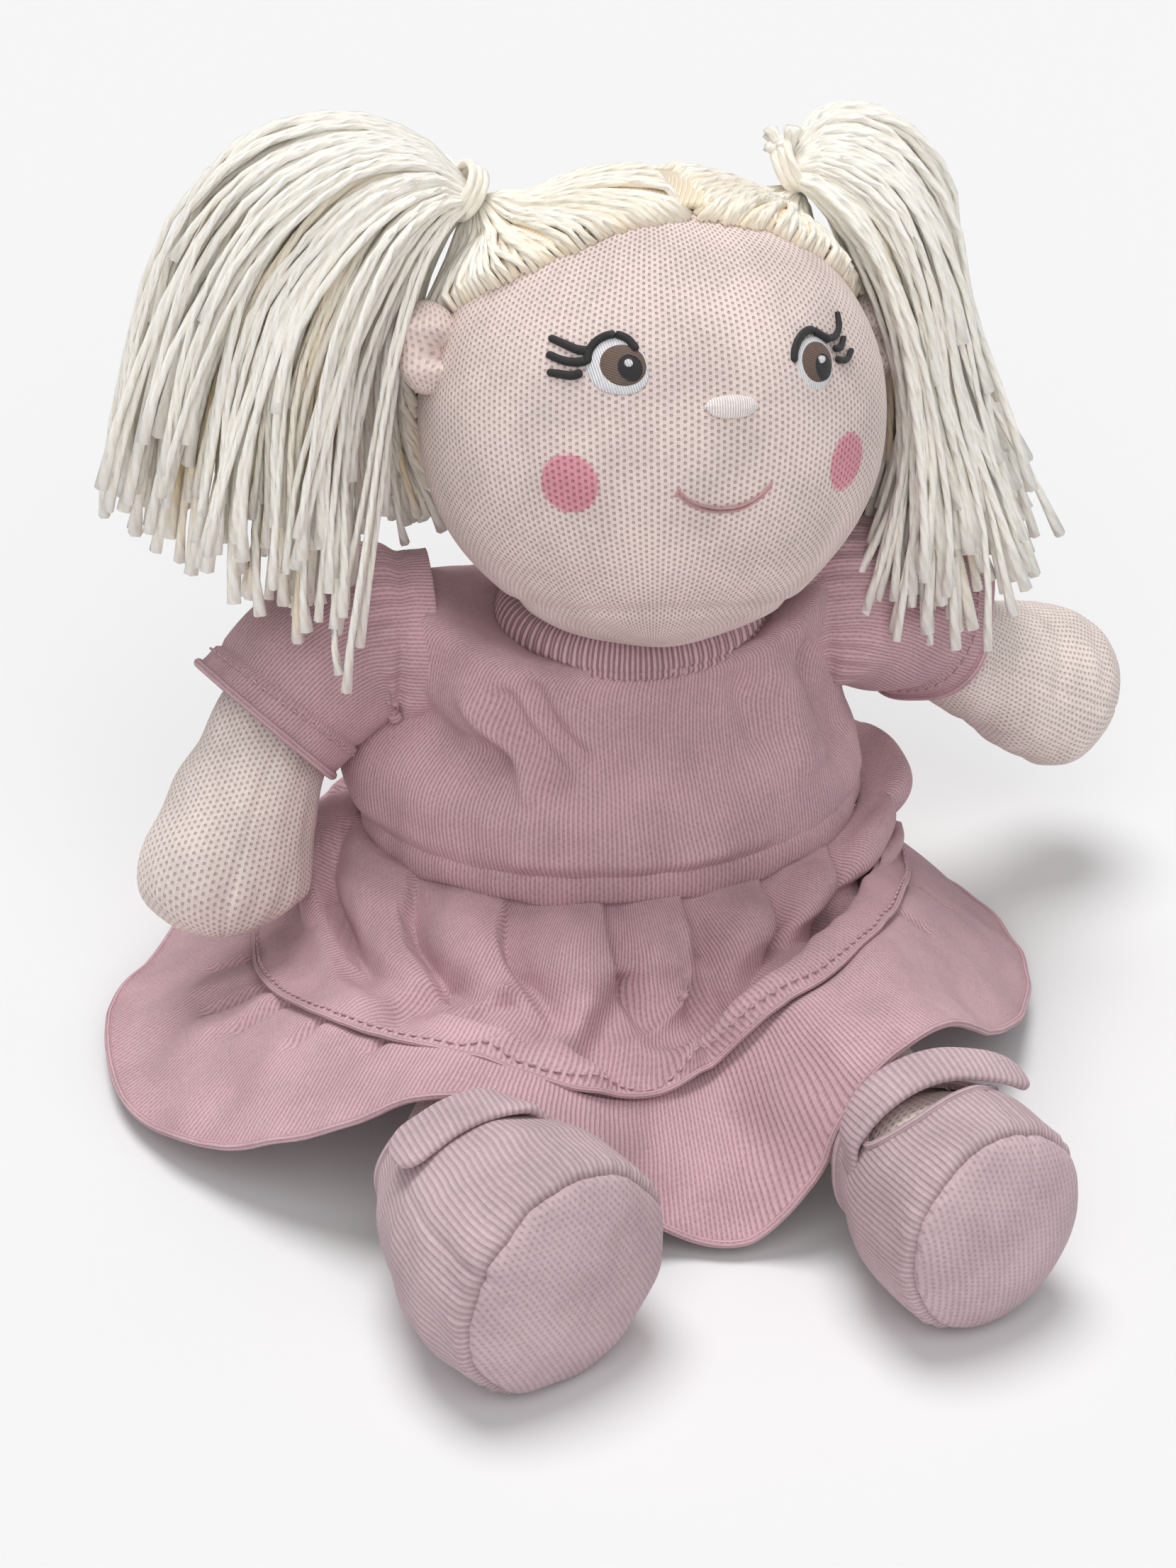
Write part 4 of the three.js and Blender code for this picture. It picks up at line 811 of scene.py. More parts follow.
def make_head():
    """An ovoid in its own frame, a ball times its radii that starts from the back, with a groove where the
    chin's seam runs and soft lumps of the filling"""
    rows = 132
    ball = np.ascontiguousarray(ball_grid(rows, 240)[..., [1, 0, 2]])
    own = ball * HEAD_RADII
    seam = -0.9 * hump(own[..., 2], -46, 1.3) * (own[..., 1] < 20)
    puff = 0.5 * soft_noise(own, 34, 3)
    own = own + ball * (seam + puff)[..., None]
    grid = on_head(own)
    wales = wales_round(HEAD_RADII[0], sizes().wale_pitch)
    fabric = stitches_of(grid, np.linspace(0, math.pi * HEAD_RADII[2], rows), wales, HEAD_COURSE)
    skin = knit_material("face knit", linear("skin"), hole_share=0.66, holes=1.0, grooves=0.12, depth=0.35,
                         paint=cheek_paint)
    head = closed_object("head_knit", grid, fabric, skin)
    finish(head, "head", "peach_knit", "head")


# The ears' radii, and where the left one's middle lies and how far it turns outwards in the head's frame
EAR_RADII = np.array([8.0, 5.4, 11.2])
EAR_PLACE = np.array([57.0, -2.0, 17.0])
EAR_TURN = 0.35


def make_ears():
    """Each ear: an ovoid with a dent and a crease pressed into its front, each deepest where its bell is,
    so that a roll stands over them and a lobe under them"""
    rows = 60
    ball = ball_grid(rows, 84)
    skin = knit_material("ear knit", linear("skin"), hole_share=0.66, holes=0.8, grooves=0.2, depth=0.3)
    for name, sign in SIDES.items():
        own = ball * EAR_RADII
        x, y, z = np.moveaxis(own, -1, 0)
        front = ramp(-y, 0, 4)
        dent = np.exp(-(((own - np.array([sign * -2.4, -5.4, -0.6])) / (3.0, 3.2, 3.0)) ** 2).sum(axis=-1))
        crease = hump(z - sign * 0.25 * x, -0.8, 1.5) * front * ramp(x * -sign, -5, 2)
        roll = hump(z, 5.2, 3.0) * front
        lobe = hump(z, -5.6, 2.8) * front
        own = own + np.array([sign * -0.4, 1.0, 0]) * (dent * 3.6 + crease * 2.2)[..., None]
        own = own + np.array([sign * 0.4, -1.0, -0.15]) * (roll * 1.7 + lobe * 1.4)[..., None]
        own = own + ball * (0.25 * soft_noise(own, 9, 11))[..., None]
        grid = on_head(own @ turn_about("z", sign * EAR_TURN).T + EAR_PLACE * (sign, 1, 1))
        fabric = stitches_of(grid, np.linspace(0, 30, rows), *KNITS["ear"])
        ear = closed_object(f"ear_knit_{name}", grid, fabric, skin)
        finish(ear, "head", "peach_knit", f"ear_{name}")


def make_neck():
    """The neck's stuffed post, turned: its radius swells by a sine of the height"""
    rows, around = 24, 96
    height = np.linspace(98.0, 118.0, rows)
    share = (height - height[0]) / (height[-1] - height[0])
    radius = 20.0 + 1.2 * np.sin(np.pi * share)
    radius[0] = radius[-1] = 0.0
    height[0], height[-1] = height[1], height[-2]
    a = circle(around)
    grid = np.stack([NECK_FOOT[0] + radius[:, None] * np.cos(a), NECK_FOOT[1] + radius[:, None] * np.sin(a),
                     height[:, None] * np.ones_like(a)], axis=-1)
    fabric = stitches_of(grid, height, *KNITS["neck"])
    skin = knit_material("neck knit", linear("skin"), hole_share=0.66, holes=0.9, grooves=0.15)
    neck = closed_object("neck_knit", grid, fabric, skin)
    finish(neck, "neck", "peach_knit", "neck")


# Embroidery

# Outlines and strokes are x and z in the head's own frame, over the right eye (seen on the left) and the left
EYES = {
    "right": {
        "white": [(-31.9, 15.0), (-31.6, 11.0), (-29.4, 7.6), (-25.6, 6.4), (-21.6, 6.9), (-19.2, 9.3),
                  (-18.9, 12.6), (-20.0, 16.4), (-22.4, 18.6), (-26.0, 19.2), (-29.4, 17.8)],
        "iris": (-24.1, 12.9, 4.9, 4.7), "pupil": (-22.9, 12.4, 3.0, 3.4), "shine": (-22.9, 13.3, 1.0, 1.0),
        "lid": [(-31.4, 13.2), (-30.7, 16.2), (-28.6, 18.7), (-25.6, 19.9), (-22.7, 19.0), (-20.7, 16.2)],
        "lashes": [[(-30.6, 16.2), (-33.0, 16.6), (-35.4, 17.9), (-38.0, 19.4)],
                   [(-31.0, 14.0), (-33.8, 13.7), (-36.2, 14.2), (-38.9, 15.7)],
                   [(-32.4, 11.4), (-34.4, 10.7), (-36.8, 11.0), (-39.2, 11.5)]],
        "lash": 1.15,
    },
    "left": {
        "white": [(17.4, 14.6), (16.9, 11.2), (18.2, 8.4), (21.2, 6.6), (24.9, 6.8), (27.6, 9.2),
                  (28.3, 12.8), (27.3, 16.4), (24.6, 18.6), (21.2, 18.4), (18.8, 17.0)],
        "iris": (23.4, 12.8, 4.6, 4.7), "pupil": (24.6, 11.8, 2.9, 3.4), "shine": (24.0, 13.2, 1.0, 1.0),
        "lid": [(16.4, 12.8), (17.0, 15.6), (19.4, 18.9), (22.6, 20.2), (25.6, 18.8), (28.2, 17.6)],
        "lashes": [[(27.0, 18.0), (30.0, 18.6), (31.9, 20.6), (32.4, 24.2)],
                   [(28.9, 15.7), (31.2, 15.9), (33.2, 18.4)],
                   [(29.3, 13.2), (32.8, 13.0), (35.4, 15.4)]],
        "lash": 0.9,
    },
}
NOSE = [(-6.9, 3.4), (-4.8, 5.2), (0.0, 5.9), (4.6, 5.3), (6.6, 3.3), (4.4, 1.2), (0.0, 0.5), (-4.7, 1.2)]
MOUTH = [(-12.3, -16.3), (-9.4, -18.6), (-5.6, -20.1), (-1.7, -20.7), (3.4, -20.2), (7.4, -18.2),
         (10.7, -15.1)]
MOUTH_OFFSET = np.array([0.1, 0.42])
MOUTH_CORNER = [(-12.9, -17.4), (-12.3, -16.3), (-11.9, -15.2)]


def oval(x, z, across, up):
    """Places round an oval"""
    a = circle(16)
    return np.stack([x + across * np.cos(a), z + up * np.sin(a)], axis=1)


def embroidered_patch(name, outline, puff, foot, material, thread_angle=0.0):
    """A stitched patch on the face: rings shrink from a closed outline to its middle, and the middle stands
    up by puff as the root of 1 - share^2; its underside lies foot below the face. Threads run at an angle."""
    around, rings = 64, 13
    outline = np.asarray(outline, float)
    places, _, lengths = curve_through(np.vstack([outline, outline[:1]]), 12)
    at = np.linspace(0, lengths[-1], around, endpoint=False)
    ring = places_at(at, lengths, places)
    middle = outline.mean(axis=0)
    share = np.concatenate([np.sin(np.linspace(0, np.pi / 2, rings)), np.linspace(1, 0, 4)[1:]])
    top = np.arange(len(share)) < rings
    flat = middle + share[:, None, None] * (ring - middle)[None]
    lift = np.where(top, puff * arch(share) + 0.12, -foot)[:, None] * np.ones(around)
    grid = head_surface(flat[..., 0], flat[..., 1], lift)
    c, s = math.cos(thread_angle), math.sin(thread_angle)
    way = np.stack([flat[..., 0] * c + flat[..., 1] * s, flat[..., 1] * c - flat[..., 0] * s], axis=-1)
    fabric = np.concatenate([way, way[:, :1]], axis=1)
    return closed_object(name, grid, fabric, material)


def embroidered_line(points, half_width, material, name, height=0.55, taper=0.5):
    """A stitched line on the face: a flattened tube along a curve, thinner to its end by taper"""
    points = np.asarray(points, float)
    widths = np.linspace(half_width, half_width * taper, 5)
    line = head_surface(points[:, 0], points[:, 1], 0.25 * np.ones(len(points)))
    facing = unit(line - HEAD_CENTRE).mean(axis=0)
    side = np.cross(facing, line[1] - line[0])
    grid, place, _ = stuffed(line, widths, np.full(5, height), side, half_width, half_width * 0.8,
                             rows=26, around=14)
    return closed_object(name, grid, stitches_of(grid, place, 6, 0.5)[..., ::-1], material)


def joined(name, objects):
    """Several mesh objects made one"""
    with bpy.context.temp_override(active_object=objects[0], object=objects[0], selected_objects=objects,
                                   selected_editable_objects=objects):
        bpy.ops.object.join()
    objects[0].name = name
    return objects[0]


def make_face():
    """The face: patches for the whites, irises, pupils, highlights and nose, lines for lids, lashes and
    mouth; what lies on another patch is moved out until it shows"""
    white = satin_material("white eye thread", linear("white"))
    brown = satin_material("brown eye thread", linear("iris"))
    black = satin_material("black thread", linear("black"), pitch=0.5, roughness=0.55)
    for name, eye in EYES.items():
        patch = embroidered_patch(f"eye_stitches_{name}", eye["white"], 0.55, 0.6, white, 0.2)
        finish(patch, "head", "white_thread", f"eye_white_{name}")
        iris = embroidered_patch(f"iris_stitches_{name}", oval(*eye["iris"]), 0.55, -0.3, brown, 1.2)
        finish(move_out(iris, 0.35), "head", "brown_thread", f"iris_{name}")
        pupil = embroidered_patch(f"pupil_stitches_{name}", oval(*eye["pupil"]), 0.5, -0.75, black, 0.6)
        finish(move_out(pupil, 0.5), "head", "black_thread")
        shine = embroidered_patch(f"eye_highlight_{name}", oval(*eye["shine"]), 0.4, -1.0, white, 0.3)
        finish(move_out(shine, 0.85), "head", "white_thread")
        lid = embroidered_line(eye["lid"], 1.05, black, "lid", 0.8, 0.9)
        lashes = [embroidered_line(lash, eye["lash"], black, "lash", 0.75, 0.8) for lash in eye["lashes"]]
        stitched = joined(f"lid_stitches_{name}", [lid, *lashes])
        finish(move_out(stitched, 0.35), "head", "black_thread", f"lid_and_lashes_{name}")
    pale = satin_material("nose thread", linear("nose"), pitch=0.6, roughness=0.4)
    nose = embroidered_patch("nose_stitches", NOSE, 1.6, 0.6, pale, 0.0)
    finish(nose, "head", "pink_thread", "nose")
    rose = satin_material("mouth thread", linear("mouth"))
    upper, under = (embroidered_line(MOUTH + offset, 0.34, rose, "mouth_line", 0.35, 0.8)
                    for offset in (MOUTH_OFFSET, -MOUTH_OFFSET))
    corner = embroidered_line(MOUTH_CORNER, 0.45, rose, "mouth_corner", 0.4, 0.9)
    mouth = joined("mouth_stitches", [upper, under, corner])
    finish(mouth, "head", "pink_thread", "mouth")


def move_out(obj, distance):
    """The piece moved straight out of the face by a distance"""
    mesh = obj.data
    co = np.empty(len(mesh.vertices) * 3)
    mesh.vertices.foreach_get("co", co)
    co = co.reshape(-1, 3)
    outward = unit((co.mean(axis=0) - HEAD_CENTRE * MM)[None])
    mesh.vertices.foreach_set("co", (co + outward * distance * MM).ravel())
    mesh.update()
    return obj


# Hair

# How far down from the crown the hair's edge lies, in degrees, at angles round the head from the face
HAIR_EDGE = [(0, 33), (30, 38), (60, 52), (90, 63), (105, 85), (120, 107), (150, 114), (180, 115)]


def edge_of_hair(around):
    """The hairline's angle from the crown, eased between the listed ones, for angles from the face"""
    table = np.asarray(HAIR_EDGE, float)
    return np.radians(np.interp(np.abs(np.degrees(around)), table[:, 0], table[:, 1]))


def head_way(around, down):
    """Directions in the head's own frame: around from the face (0) to its left, down from the crown"""
    return np.stack([np.sin(down) * np.sin(around), -np.sin(down) * np.cos(around),
                     np.cos(down) * np.ones_like(around)], axis=-1)


def strand_object(name, paths, radii, depth, material, sides=5):
    """Many strands in one mesh: circles carried along each path, with a flat end at both ends. paths is
    strands by rows by three, radii and depth strands by rows. depth is how much golden painted shade a strand
    takes."""
    strands, rows = paths.shape[:2]
    tangent = unit(np.gradient(paths, axis=1))
    middle = paths.mean(axis=(0, 1))
    away = unit(paths - middle)
    wide = unit(np.cross(tangent, away + 1e-3))
    high = np.cross(tangent, wide)
    a = circle(sides)
    ring = wide[:, :, None] * np.cos(a)[:, None] + high[:, :, None] * np.sin(a)[:, None]
    points = (paths[:, :, None] + ring * radii[..., None, None]).reshape(-1, 3)
    start = np.arange(strands)[:, None, None] * rows * sides
    faces, spots = grid_faces(rows, sides)
    quads = (start[:, 0] + faces.reshape(1, -1)).reshape(-1, 4)
    length = lengths_along(paths)
    offset = np.random.default_rng(5).uniform(0, 30, (strands, 1))
    across = np.stack([c / sides for r, c in spots], axis=1)[None] * np.ones((strands, 1, 1))
    along = np.stack([(length + offset)[:, r] for r, c in spots], axis=2)
    uv = np.stack([across, along], axis=-1).reshape(-1, 4, 2)
    first = start[:, 0] + np.arange(sides)[::-1]
    last = start[:, 0] + (rows - 1) * sides + np.arange(sides)
    ends = np.concatenate([first, last])
    obj = new_object(name, points, [quads, ends], [uv, np.zeros((len(ends), sides, 2))], material)
    paint_hair_shade(obj, np.repeat(depth, sides, axis=1))
    return obj


def paint_hair_shade(obj, depth):
    """Painted shade for the yarn: how deep in the hair each of a mesh's points lies, from 0 outside to 1,
    which sets how much golden painted shade the yarn's colour takes
    """
    layer = obj.data.attributes.new("depth", "FLOAT", "POINT")
    values = np.broadcast_to(np.ravel(depth), (len(obj.data.vertices),))
    layer.data.foreach_set("value", values.astype(np.float32))


# Each pigtail's fan, from its inner strands to its outer ones: lines from the tie to the tips
PIGTAIL_GUIDES = {
    "right": [
        [(-33, 3, 215), (-39, -2, 213), (-47, -7, 203), (-54, -11, 184), (-58, -15, 160), (-62, -20, 134),
         (-66, -25, 105)],
        [(-33, 4, 216), (-42, 1, 220), (-55, -3, 215), (-66, -6, 196), (-73, -9, 170), (-77, -12, 144),
         (-80, -15, 119)],
        [(-33, 5, 217), (-44, 4, 225), (-61, 2, 224), (-78, 2, 207), (-88, 0, 180), (-93, -2, 152),
         (-96, -4, 126)],
        [(-33, 5, 218), (-45, 6, 229), (-64, 6, 232), (-85, 6, 218), (-99, 5, 192), (-108, 4, 162),
         (-113, 3, 134)],
        [(-33, 5, 218), (-44, 8, 230), (-62, 10, 236), (-85, 10, 230), (-104, 10, 210), (-117, 8, 179),
         (-125, 6, 147)],
    ],
    "left": [
        [(47, 12, 213), (53, 8, 209), (62, 6, 197), (71, 5, 181), (75, 5, 158), (68, 4, 130),
         (57, 0, 106)],
        [(47, 13, 214), (54, 8, 214), (64, 4, 204), (73, 1, 182), (77, -2, 154), (77, -5, 122),
         (74, -8, 88)],
        [(47, 14, 215), (55, 11, 219), (68, 8, 213), (77, 5, 191), (82, 3, 162), (87, 0, 130),
         (91, -4, 94)],
        [(47, 15, 216), (57, 14, 224), (72, 12, 220), (82, 10, 200), (88, 9, 172), (97, 7, 142),
         (107, 3, 112)],
        [(47, 15, 216), (57, 17, 228), (74, 17, 226), (87, 17, 211), (91, 15, 186), (100, 12, 158),
         (118, 8, 118)],
    ],
}

# How far the fan's strands spread to the front and the back at even steps from the tie
PIGTAIL_SPREAD = [4.0, 9.0, 16.0, 21.0, 24.0, 26.0, 27.0]

# Strands that hang behind each ear, as a fan of two lines
BEHIND_EAR_GUIDES = {
    "right": [
        [(-34, 6, 213), (-39, 9, 204), (-45, 13, 188), (-48, 16, 168), (-47, 18, 150), (-43, 17, 136),
         (-38, 14, 124)],
        [(-34, 6, 213), (-42, 8, 206), (-50, 12, 192), (-55, 14, 172), (-57, 14, 152), (-56, 13, 136),
         (-54, 11, 124)],
    ],
    "left": [
        [(47, 16, 213), (55, 19, 206), (65, 24, 190), (70, 28, 170), (70, 26, 150), (62, 18, 132),
         (52, 8, 116)],
        [(47, 16, 213), (57, 18, 208), (69, 21, 193), (77, 23, 172), (78, 20, 150), (72, 14, 130),
         (62, 8, 110)],
    ],
}

# How many strands hang behind each ear, and how many cut ends stand up from each tie and where they point
BEHIND_EAR_STRANDS = 34
SPRAYS = {"right": (9, (-0.75, 0.1, 0.65)), "left": (11, (-0.25, 0.1, 0.95))}

# The radius of the ties' windings. A turn of this angle for each strand spreads them evenly over the fan
TIE_RADIUS = 6.2
GOLDEN_ANGLE = 2.399963


def fan_of_strands(guides, count, share_of_spread, draw):
    """Strands of one fan: a strand's place in the fan picks its line, its layer moves it to the front or
    the back by layer times the spread, and outer layers lie lower by their square. Each ends at its own
    length in a flared tip, and slow sine waves make it wander. Gives paths, thickness and depth, the
    golden painted shade: most for inner strands and those at the back, least at the tips, with a random tone
    for each strand."""
    segments = 14
    turn = np.arange(count) * GOLDEN_ANGLE
    out = np.sqrt(draw.uniform(0.1, 1.0, count))
    fan = np.clip(0.5 + 0.53 * out * np.cos(turn), 0, 1)
    layer = out * np.sin(turn)
    ends = draw.uniform(0.84, 1.04, count)
    ends = np.where(draw.uniform(0, 1, count) < 0.14, draw.uniform(0.6, 0.8, count), ends)
    ends = np.where(layer > 0.2, np.minimum(ends, 0.95), ends) - 0.08 * np.maximum(-layer, 0) * (fan > 0.15)
    u = np.linspace(0, 1, segments)[None, :] * ends[:, None]
    paths = along_guides(guides, fan, u)
    spread = eased(PIGTAIL_SPREAD, u) * share_of_spread
    paths[..., 1] += layer[:, None] * spread
    drop = layer[:, None] ** 2 * spread * 0.45 * np.sin(np.pi * np.clip(u, 0, 1))
    paths[..., 2] -= drop + np.clip(u - 1, 0, 1) * 60
    phase = draw.uniform(0, 2 * np.pi, (count, 1, 3))
    wander = np.sin(6.0 * u[..., None] + phase) * 2.3 * ramp(u, 0.15, 0.6)[..., None]
    curl = np.sin(13.0 * u[..., None] + phase[..., ::-1]) * 0.9 * ramp(u, 0.45, 0.9)[..., None]
    tip = ramp(np.linspace(0, 1, segments), 0.9, 1.0)[None, :]
    thickness = draw.uniform(0.8, 1.2, (count, 1)) * (0.8 + 0.2 * ramp(u, 0.0, 0.2) + 0.65 * tip)
    # Painted shade: inner strands and those at the back are more golden, tips whiter, and each strand has a
    # random tone
    depth = np.clip((0.74 - out[:, None]) * 1.6 + np.maximum(layer[:, None], 0) * 0.6
                    + draw.normal(0.0, 0.12, (count, 1)) - 0.8 * tip, 0, 1)
    stray = draw.normal(0, 1.9, (count, 1, 3)) * ramp(u, 0.1, 1.0)[..., None]
    return paths + wander + curl + stray, thickness, depth


def along_guides(guides, fan, share):
    """Places in a fan of lines: first along every line by the share, then between the lines by the fan"""
    on_lines = np.stack([eased(line, share) for line in np.asarray(guides, float)])
    at = np.clip(fan * (len(guides) - 1), 0, len(guides) - 1 - 1e-6)
    k = at.astype(int)
    t = (at - k)[:, None, None]
    rows = np.arange(len(fan))
    return on_lines[k, rows] * (1 - t) + on_lines[k + 1, rows] * t


def make_cap():
    """The hair over the head. Its base follows the head a little above it down to the hairline. Strands
    start along the hairline and the parting and pass over the base to the gather on their own side: their
    directions turn evenly from start to gather while their height eases up to the gather's."""
    yarn = yarn_material("hair yarn")
    rows, around = 64, 160
    a = np.linspace(-np.pi, np.pi, around, endpoint=False)[None, :]
    share = np.concatenate([np.linspace(0, 1, rows - 4), [1.0, 0.98, 0.6, 0.0]])[:, None]
    down = share * (edge_of_hair(a) - 0.02)
    lift = np.concatenate([np.full(rows - 4, 2.2), [0.4, 0.3, 0.3, 0.3]])[:, None]
    grid = on_head(head_way(a, down) * (HEAD_RADII + lift[..., None] * np.ones(3)))
    # The base is a sheet under the strands, painted half way to the golden painted shade of the hair's inside
    base = closed_object("hair_base", grid, stitches_of(grid, np.linspace(0, 100, rows), 60), yarn)
    paint_hair_shade(base, 0.55)
    finish(base, "head", "cream_yarn", "hair_cap")
    count = sizes().cap_strands
    radius = sizes().yarn_radius / MM
    segments = 11
    for name, sign in SIDES.items():
        draw = np.random.default_rng(21 + sign)
        gather = unit(np.asarray(GATHERS[name]))
        walk = np.linspace(0.0, 1.0, round(count * 0.62))
        turned = np.radians(2 + 176 * walk)
        edge = head_way(sign * turned, edge_of_hair(turned) + 0.03)
        over = np.radians(np.linspace(114, -33, count - len(walk)))
        parting = np.stack([np.full_like(over, sign * 0.02), np.sin(over), np.cos(over)], axis=1)
        starts = unit(np.concatenate([edge, parting]) + draw.normal(0, 0.005, (count, 3)))
        t = np.linspace(0, 1, segments)[None, :, None]
        angle = np.arccos(np.clip(starts @ gather, -1, 1))[:, None, None]
        way = (np.sin((1 - t) * angle) * starts[:, None] + np.sin(t * angle) * gather) / np.sin(angle)
        way = unit(way + draw.normal(0, 0.02, (count, 1, 3)) * np.sin(np.pi * t))
        scalp = 1 / np.linalg.norm(way / HEAD_RADII, axis=-1)
        layer = draw.uniform(2.0, 4.0, (count, 1))
        to_gather = (GATHER_HEIGHT - HEAD_RADII[2] - layer) * ramp(t[..., 0], 0.72, 1.0)
        rise = layer * ramp(t[..., 0], 0, 0.1) + to_gather
        paths = on_head(way * (scalp + rise - 0.2)[..., None])
        radii = radius * draw.uniform(0.9, 1.15, (count, 1)) * (1 - 0.3 * ramp(t[..., 0], 0.7, 1))
        # Painted shade: strands lying closer to the head and near where they start are more golden, with a
        # random tone for each strand
        depth = np.clip(0.26 - 0.1 * (layer - 2.0) + draw.normal(0, 0.07, (count, 1))
                        + 0.25 * ramp(-t[..., 0], -0.12, 0.0), 0, 1) * np.ones((count, segments))
        strands = strand_object(f"hair_strands_{name}", paths, radii, depth, yarn)
        finish(strands, "head", "cream_yarn")


def make_pigtails():
    """Each pigtail: a fan of strands that leave the tie, arch over and fall, a few that hang behind the
    ear, and a core that fills the fan, painted almost wholly with the hair's golden painted shade"""
    yarn = yarn_material("pigtail yarn")
    radius = sizes().yarn_radius / MM
    rows = 30
    for name, sign in SIDES.items():
        draw = np.random.default_rng(77 + sign)
        guides = PIGTAIL_GUIDES[name]
        fans = [fan_of_strands(guides, sizes().pigtail_strands, 1.0, draw),
                fan_of_strands(BEHIND_EAR_GUIDES[name], BEHIND_EAR_STRANDS, 0.2, draw)]
        paths, thickness, depth = (np.concatenate(parts) for parts in zip(*fans))
        strands = strand_object(f"pigtail_strands_{name}", paths, radius * thickness, depth, yarn)
        finish(strands, f"pigtail_{name}", "cream_yarn", f"pigtail_{name}")
        core_rows = np.linspace(0.06, 0.68, rows)
        line, outer = (along_guides(guides, np.full(rows, fan), core_rows[:, None])[:, 0]
                       for fan in (0.5, 0.9))
        half = np.linalg.norm(outer - line, axis=1)
        a = circle(32)
        swell = np.sin(np.pi * np.linspace(0, 1, rows)) ** 0.5
        across = unit(outer - line)[:, None] * (half * 0.72 * swell)[:, None, None] * np.cos(a)[:, None]
        back = np.array([0, 1.0, 0]) * (eased(PIGTAIL_SPREAD, core_rows) * 0.4 * swell)[:, None, None]
        grid = line[:, None] + across + back * np.sin(a)[:, None]
        fabric = stitches_of(grid, np.linspace(0, 90, rows), 24)
        core = closed_object(f"pigtail_core_{name}", grid, fabric, yarn)
        # The core takes nearly the full golden painted shade
        paint_hair_shade(core, 0.9)
        finish(core, f"pigtail_{name}", "cream_yarn")
    make_sprays(yarn)


def make_sprays(yarn):
    """Short cut ends that stand up out of each tie, fanned about one direction"""
    for name, (count, way) in SPRAYS.items():
        draw = np.random.default_rng(300 + count)
        start = np.asarray(PIGTAIL_GUIDES[name][2][0], float)
        ways = unit(np.asarray(way) + draw.normal(0, 0.3, (count, 3)))
        u = np.linspace(0, 1, 5)[None, :, None]
        length = draw.uniform(9, 15, (count, 1, 1))
        paths = start + ways[:, None] * u * length + np.array([0, 0, -1.0]) * u ** 2 * length * 0.25
        radii = np.full((count, 5), 1.0) * (1 + 0.5 * u[..., 0] ** 3)
        spray = strand_object(f"hair_spray_{name}", paths, radii, np.zeros((count, 5)), yarn)
        finish(spray, f"pigtail_{name}", "cream_yarn")


def make_ties():
    """Each tie: yarn wound three times round the gather, a helix about the pigtail's own way"""
    yarn = yarn_material("tie yarn")
    # The tie's depth of 0.1 gives it a little of the yarn's golden painted shade
    rows, turns, length, thickness, depth = 90, 3, 5.5, 1.1, 0.1
    for name, guides in PIGTAIL_GUIDES.items():
        line = np.asarray(guides[2], float)
        way = unit(line[1] - line[0])
        side = unit(np.cross(way, (0, 1, 0)))
        up = np.cross(way, side)
        t = np.linspace(0, turns * 2 * np.pi, rows)
        centre = line[0] + way * 2.0
        path = (centre + np.outer((t / t[-1] - 0.5) * length, way) + np.outer(np.cos(t), side) * TIE_RADIUS
                + np.outer(np.sin(t), up) * TIE_RADIUS)
        strand = strand_object(f"hair_tie_yarn_{name}", path[None], np.full((1, rows), thickness),
                               np.full((1, rows), depth), yarn, sides=8)
        finish(strand, f"pigtail_{name}", "cream_yarn", f"hair_tie_{name}")


# Limbs and shoes

def hip_of(name):
    """Where a leg's line starts, on the floor"""
    return np.array([SIDES[name] * HIP[0], HIP[1], 0.0])


def ways_of(name):
    """The leg's way, the way across it, and the side of its sections as rolled"""
    leg = LEGS[name]
    along = np.array([math.sin(leg["yaw"]), -math.cos(leg["yaw"]), 0.0])
    across = np.array([math.cos(leg["yaw"]), math.sin(leg["yaw"]), 0.0])
    side = across * math.cos(leg["roll"]) + np.cross(along, across) * math.sin(leg["roll"])
    return along, across, side


def leg_grid(name, grow=0.0, rows=110, around=150):
    """The leg and foot as a stuffed tube from the hip to the sole"""
    along, across, side = ways_of(name)
    leg = LEGS[name]
    stations = [*((far, 0) for far in LEG_STATIONS[:-1]), *leg["foot"]]
    rises = [*LEG_RISES, FOOT_RISE, FOOT_RISE]
    line = [hip_of(name) + along * far + across * off + UP * z for (far, off), z in zip(stations, rises)]
    return stuffed(line, leg["widths"], leg["heights"], side, 9, 9, grow, rows, around)


def make_limbs():
    """Arms and legs: stuffed tubes whose oval sections swell into mitten hands and round feet, with soft
    lumps of filling along their normals"""
    skin = knit_material("limb knit", linear("limb"), hole_share=0.68, holes=0.95, grooves=0.15, depth=0.32)
    for name, sign in SIDES.items():
        grid, place, angle = stuffed(ARM_LINES[name], ARM_WIDTHS[name], ARM_HEIGHTS, ARM_SIDES[name], 0, 15,
                                     rows=110, around=132)
        lumps = 0.7 * soft_noise(grid, 26, 31 + sign) + 0.35 * soft_noise(grid, 11, 41)
        seam = -0.5 * hump((angle - 1.9 + np.pi) % (2 * np.pi) - np.pi, 0, 0.05)[None, :]
        grid = lifted_tube(grid, lumps + seam)
        fabric = stitches_of(grid, place, *KNITS["arm"])
        arm = grid_object(f"arm_knit_{name}", grid, fabric, skin, end_pole=True)
        close_ends(arm)
        finish(arm, f"arm_{name}", "limb_knit", f"arm_{name}")
        grid, place, _ = leg_grid(name)
        grid = lifted_tube(grid, 0.5 * soft_noise(grid, 26, 51 + sign) - 0.5)
        leg = closed_object(f"leg_knit_{name}", grid, stitches_of(grid, place, *KNITS["leg"]), skin)
        finish(leg, f"leg_{name}", "limb_knit", f"leg_{name}")


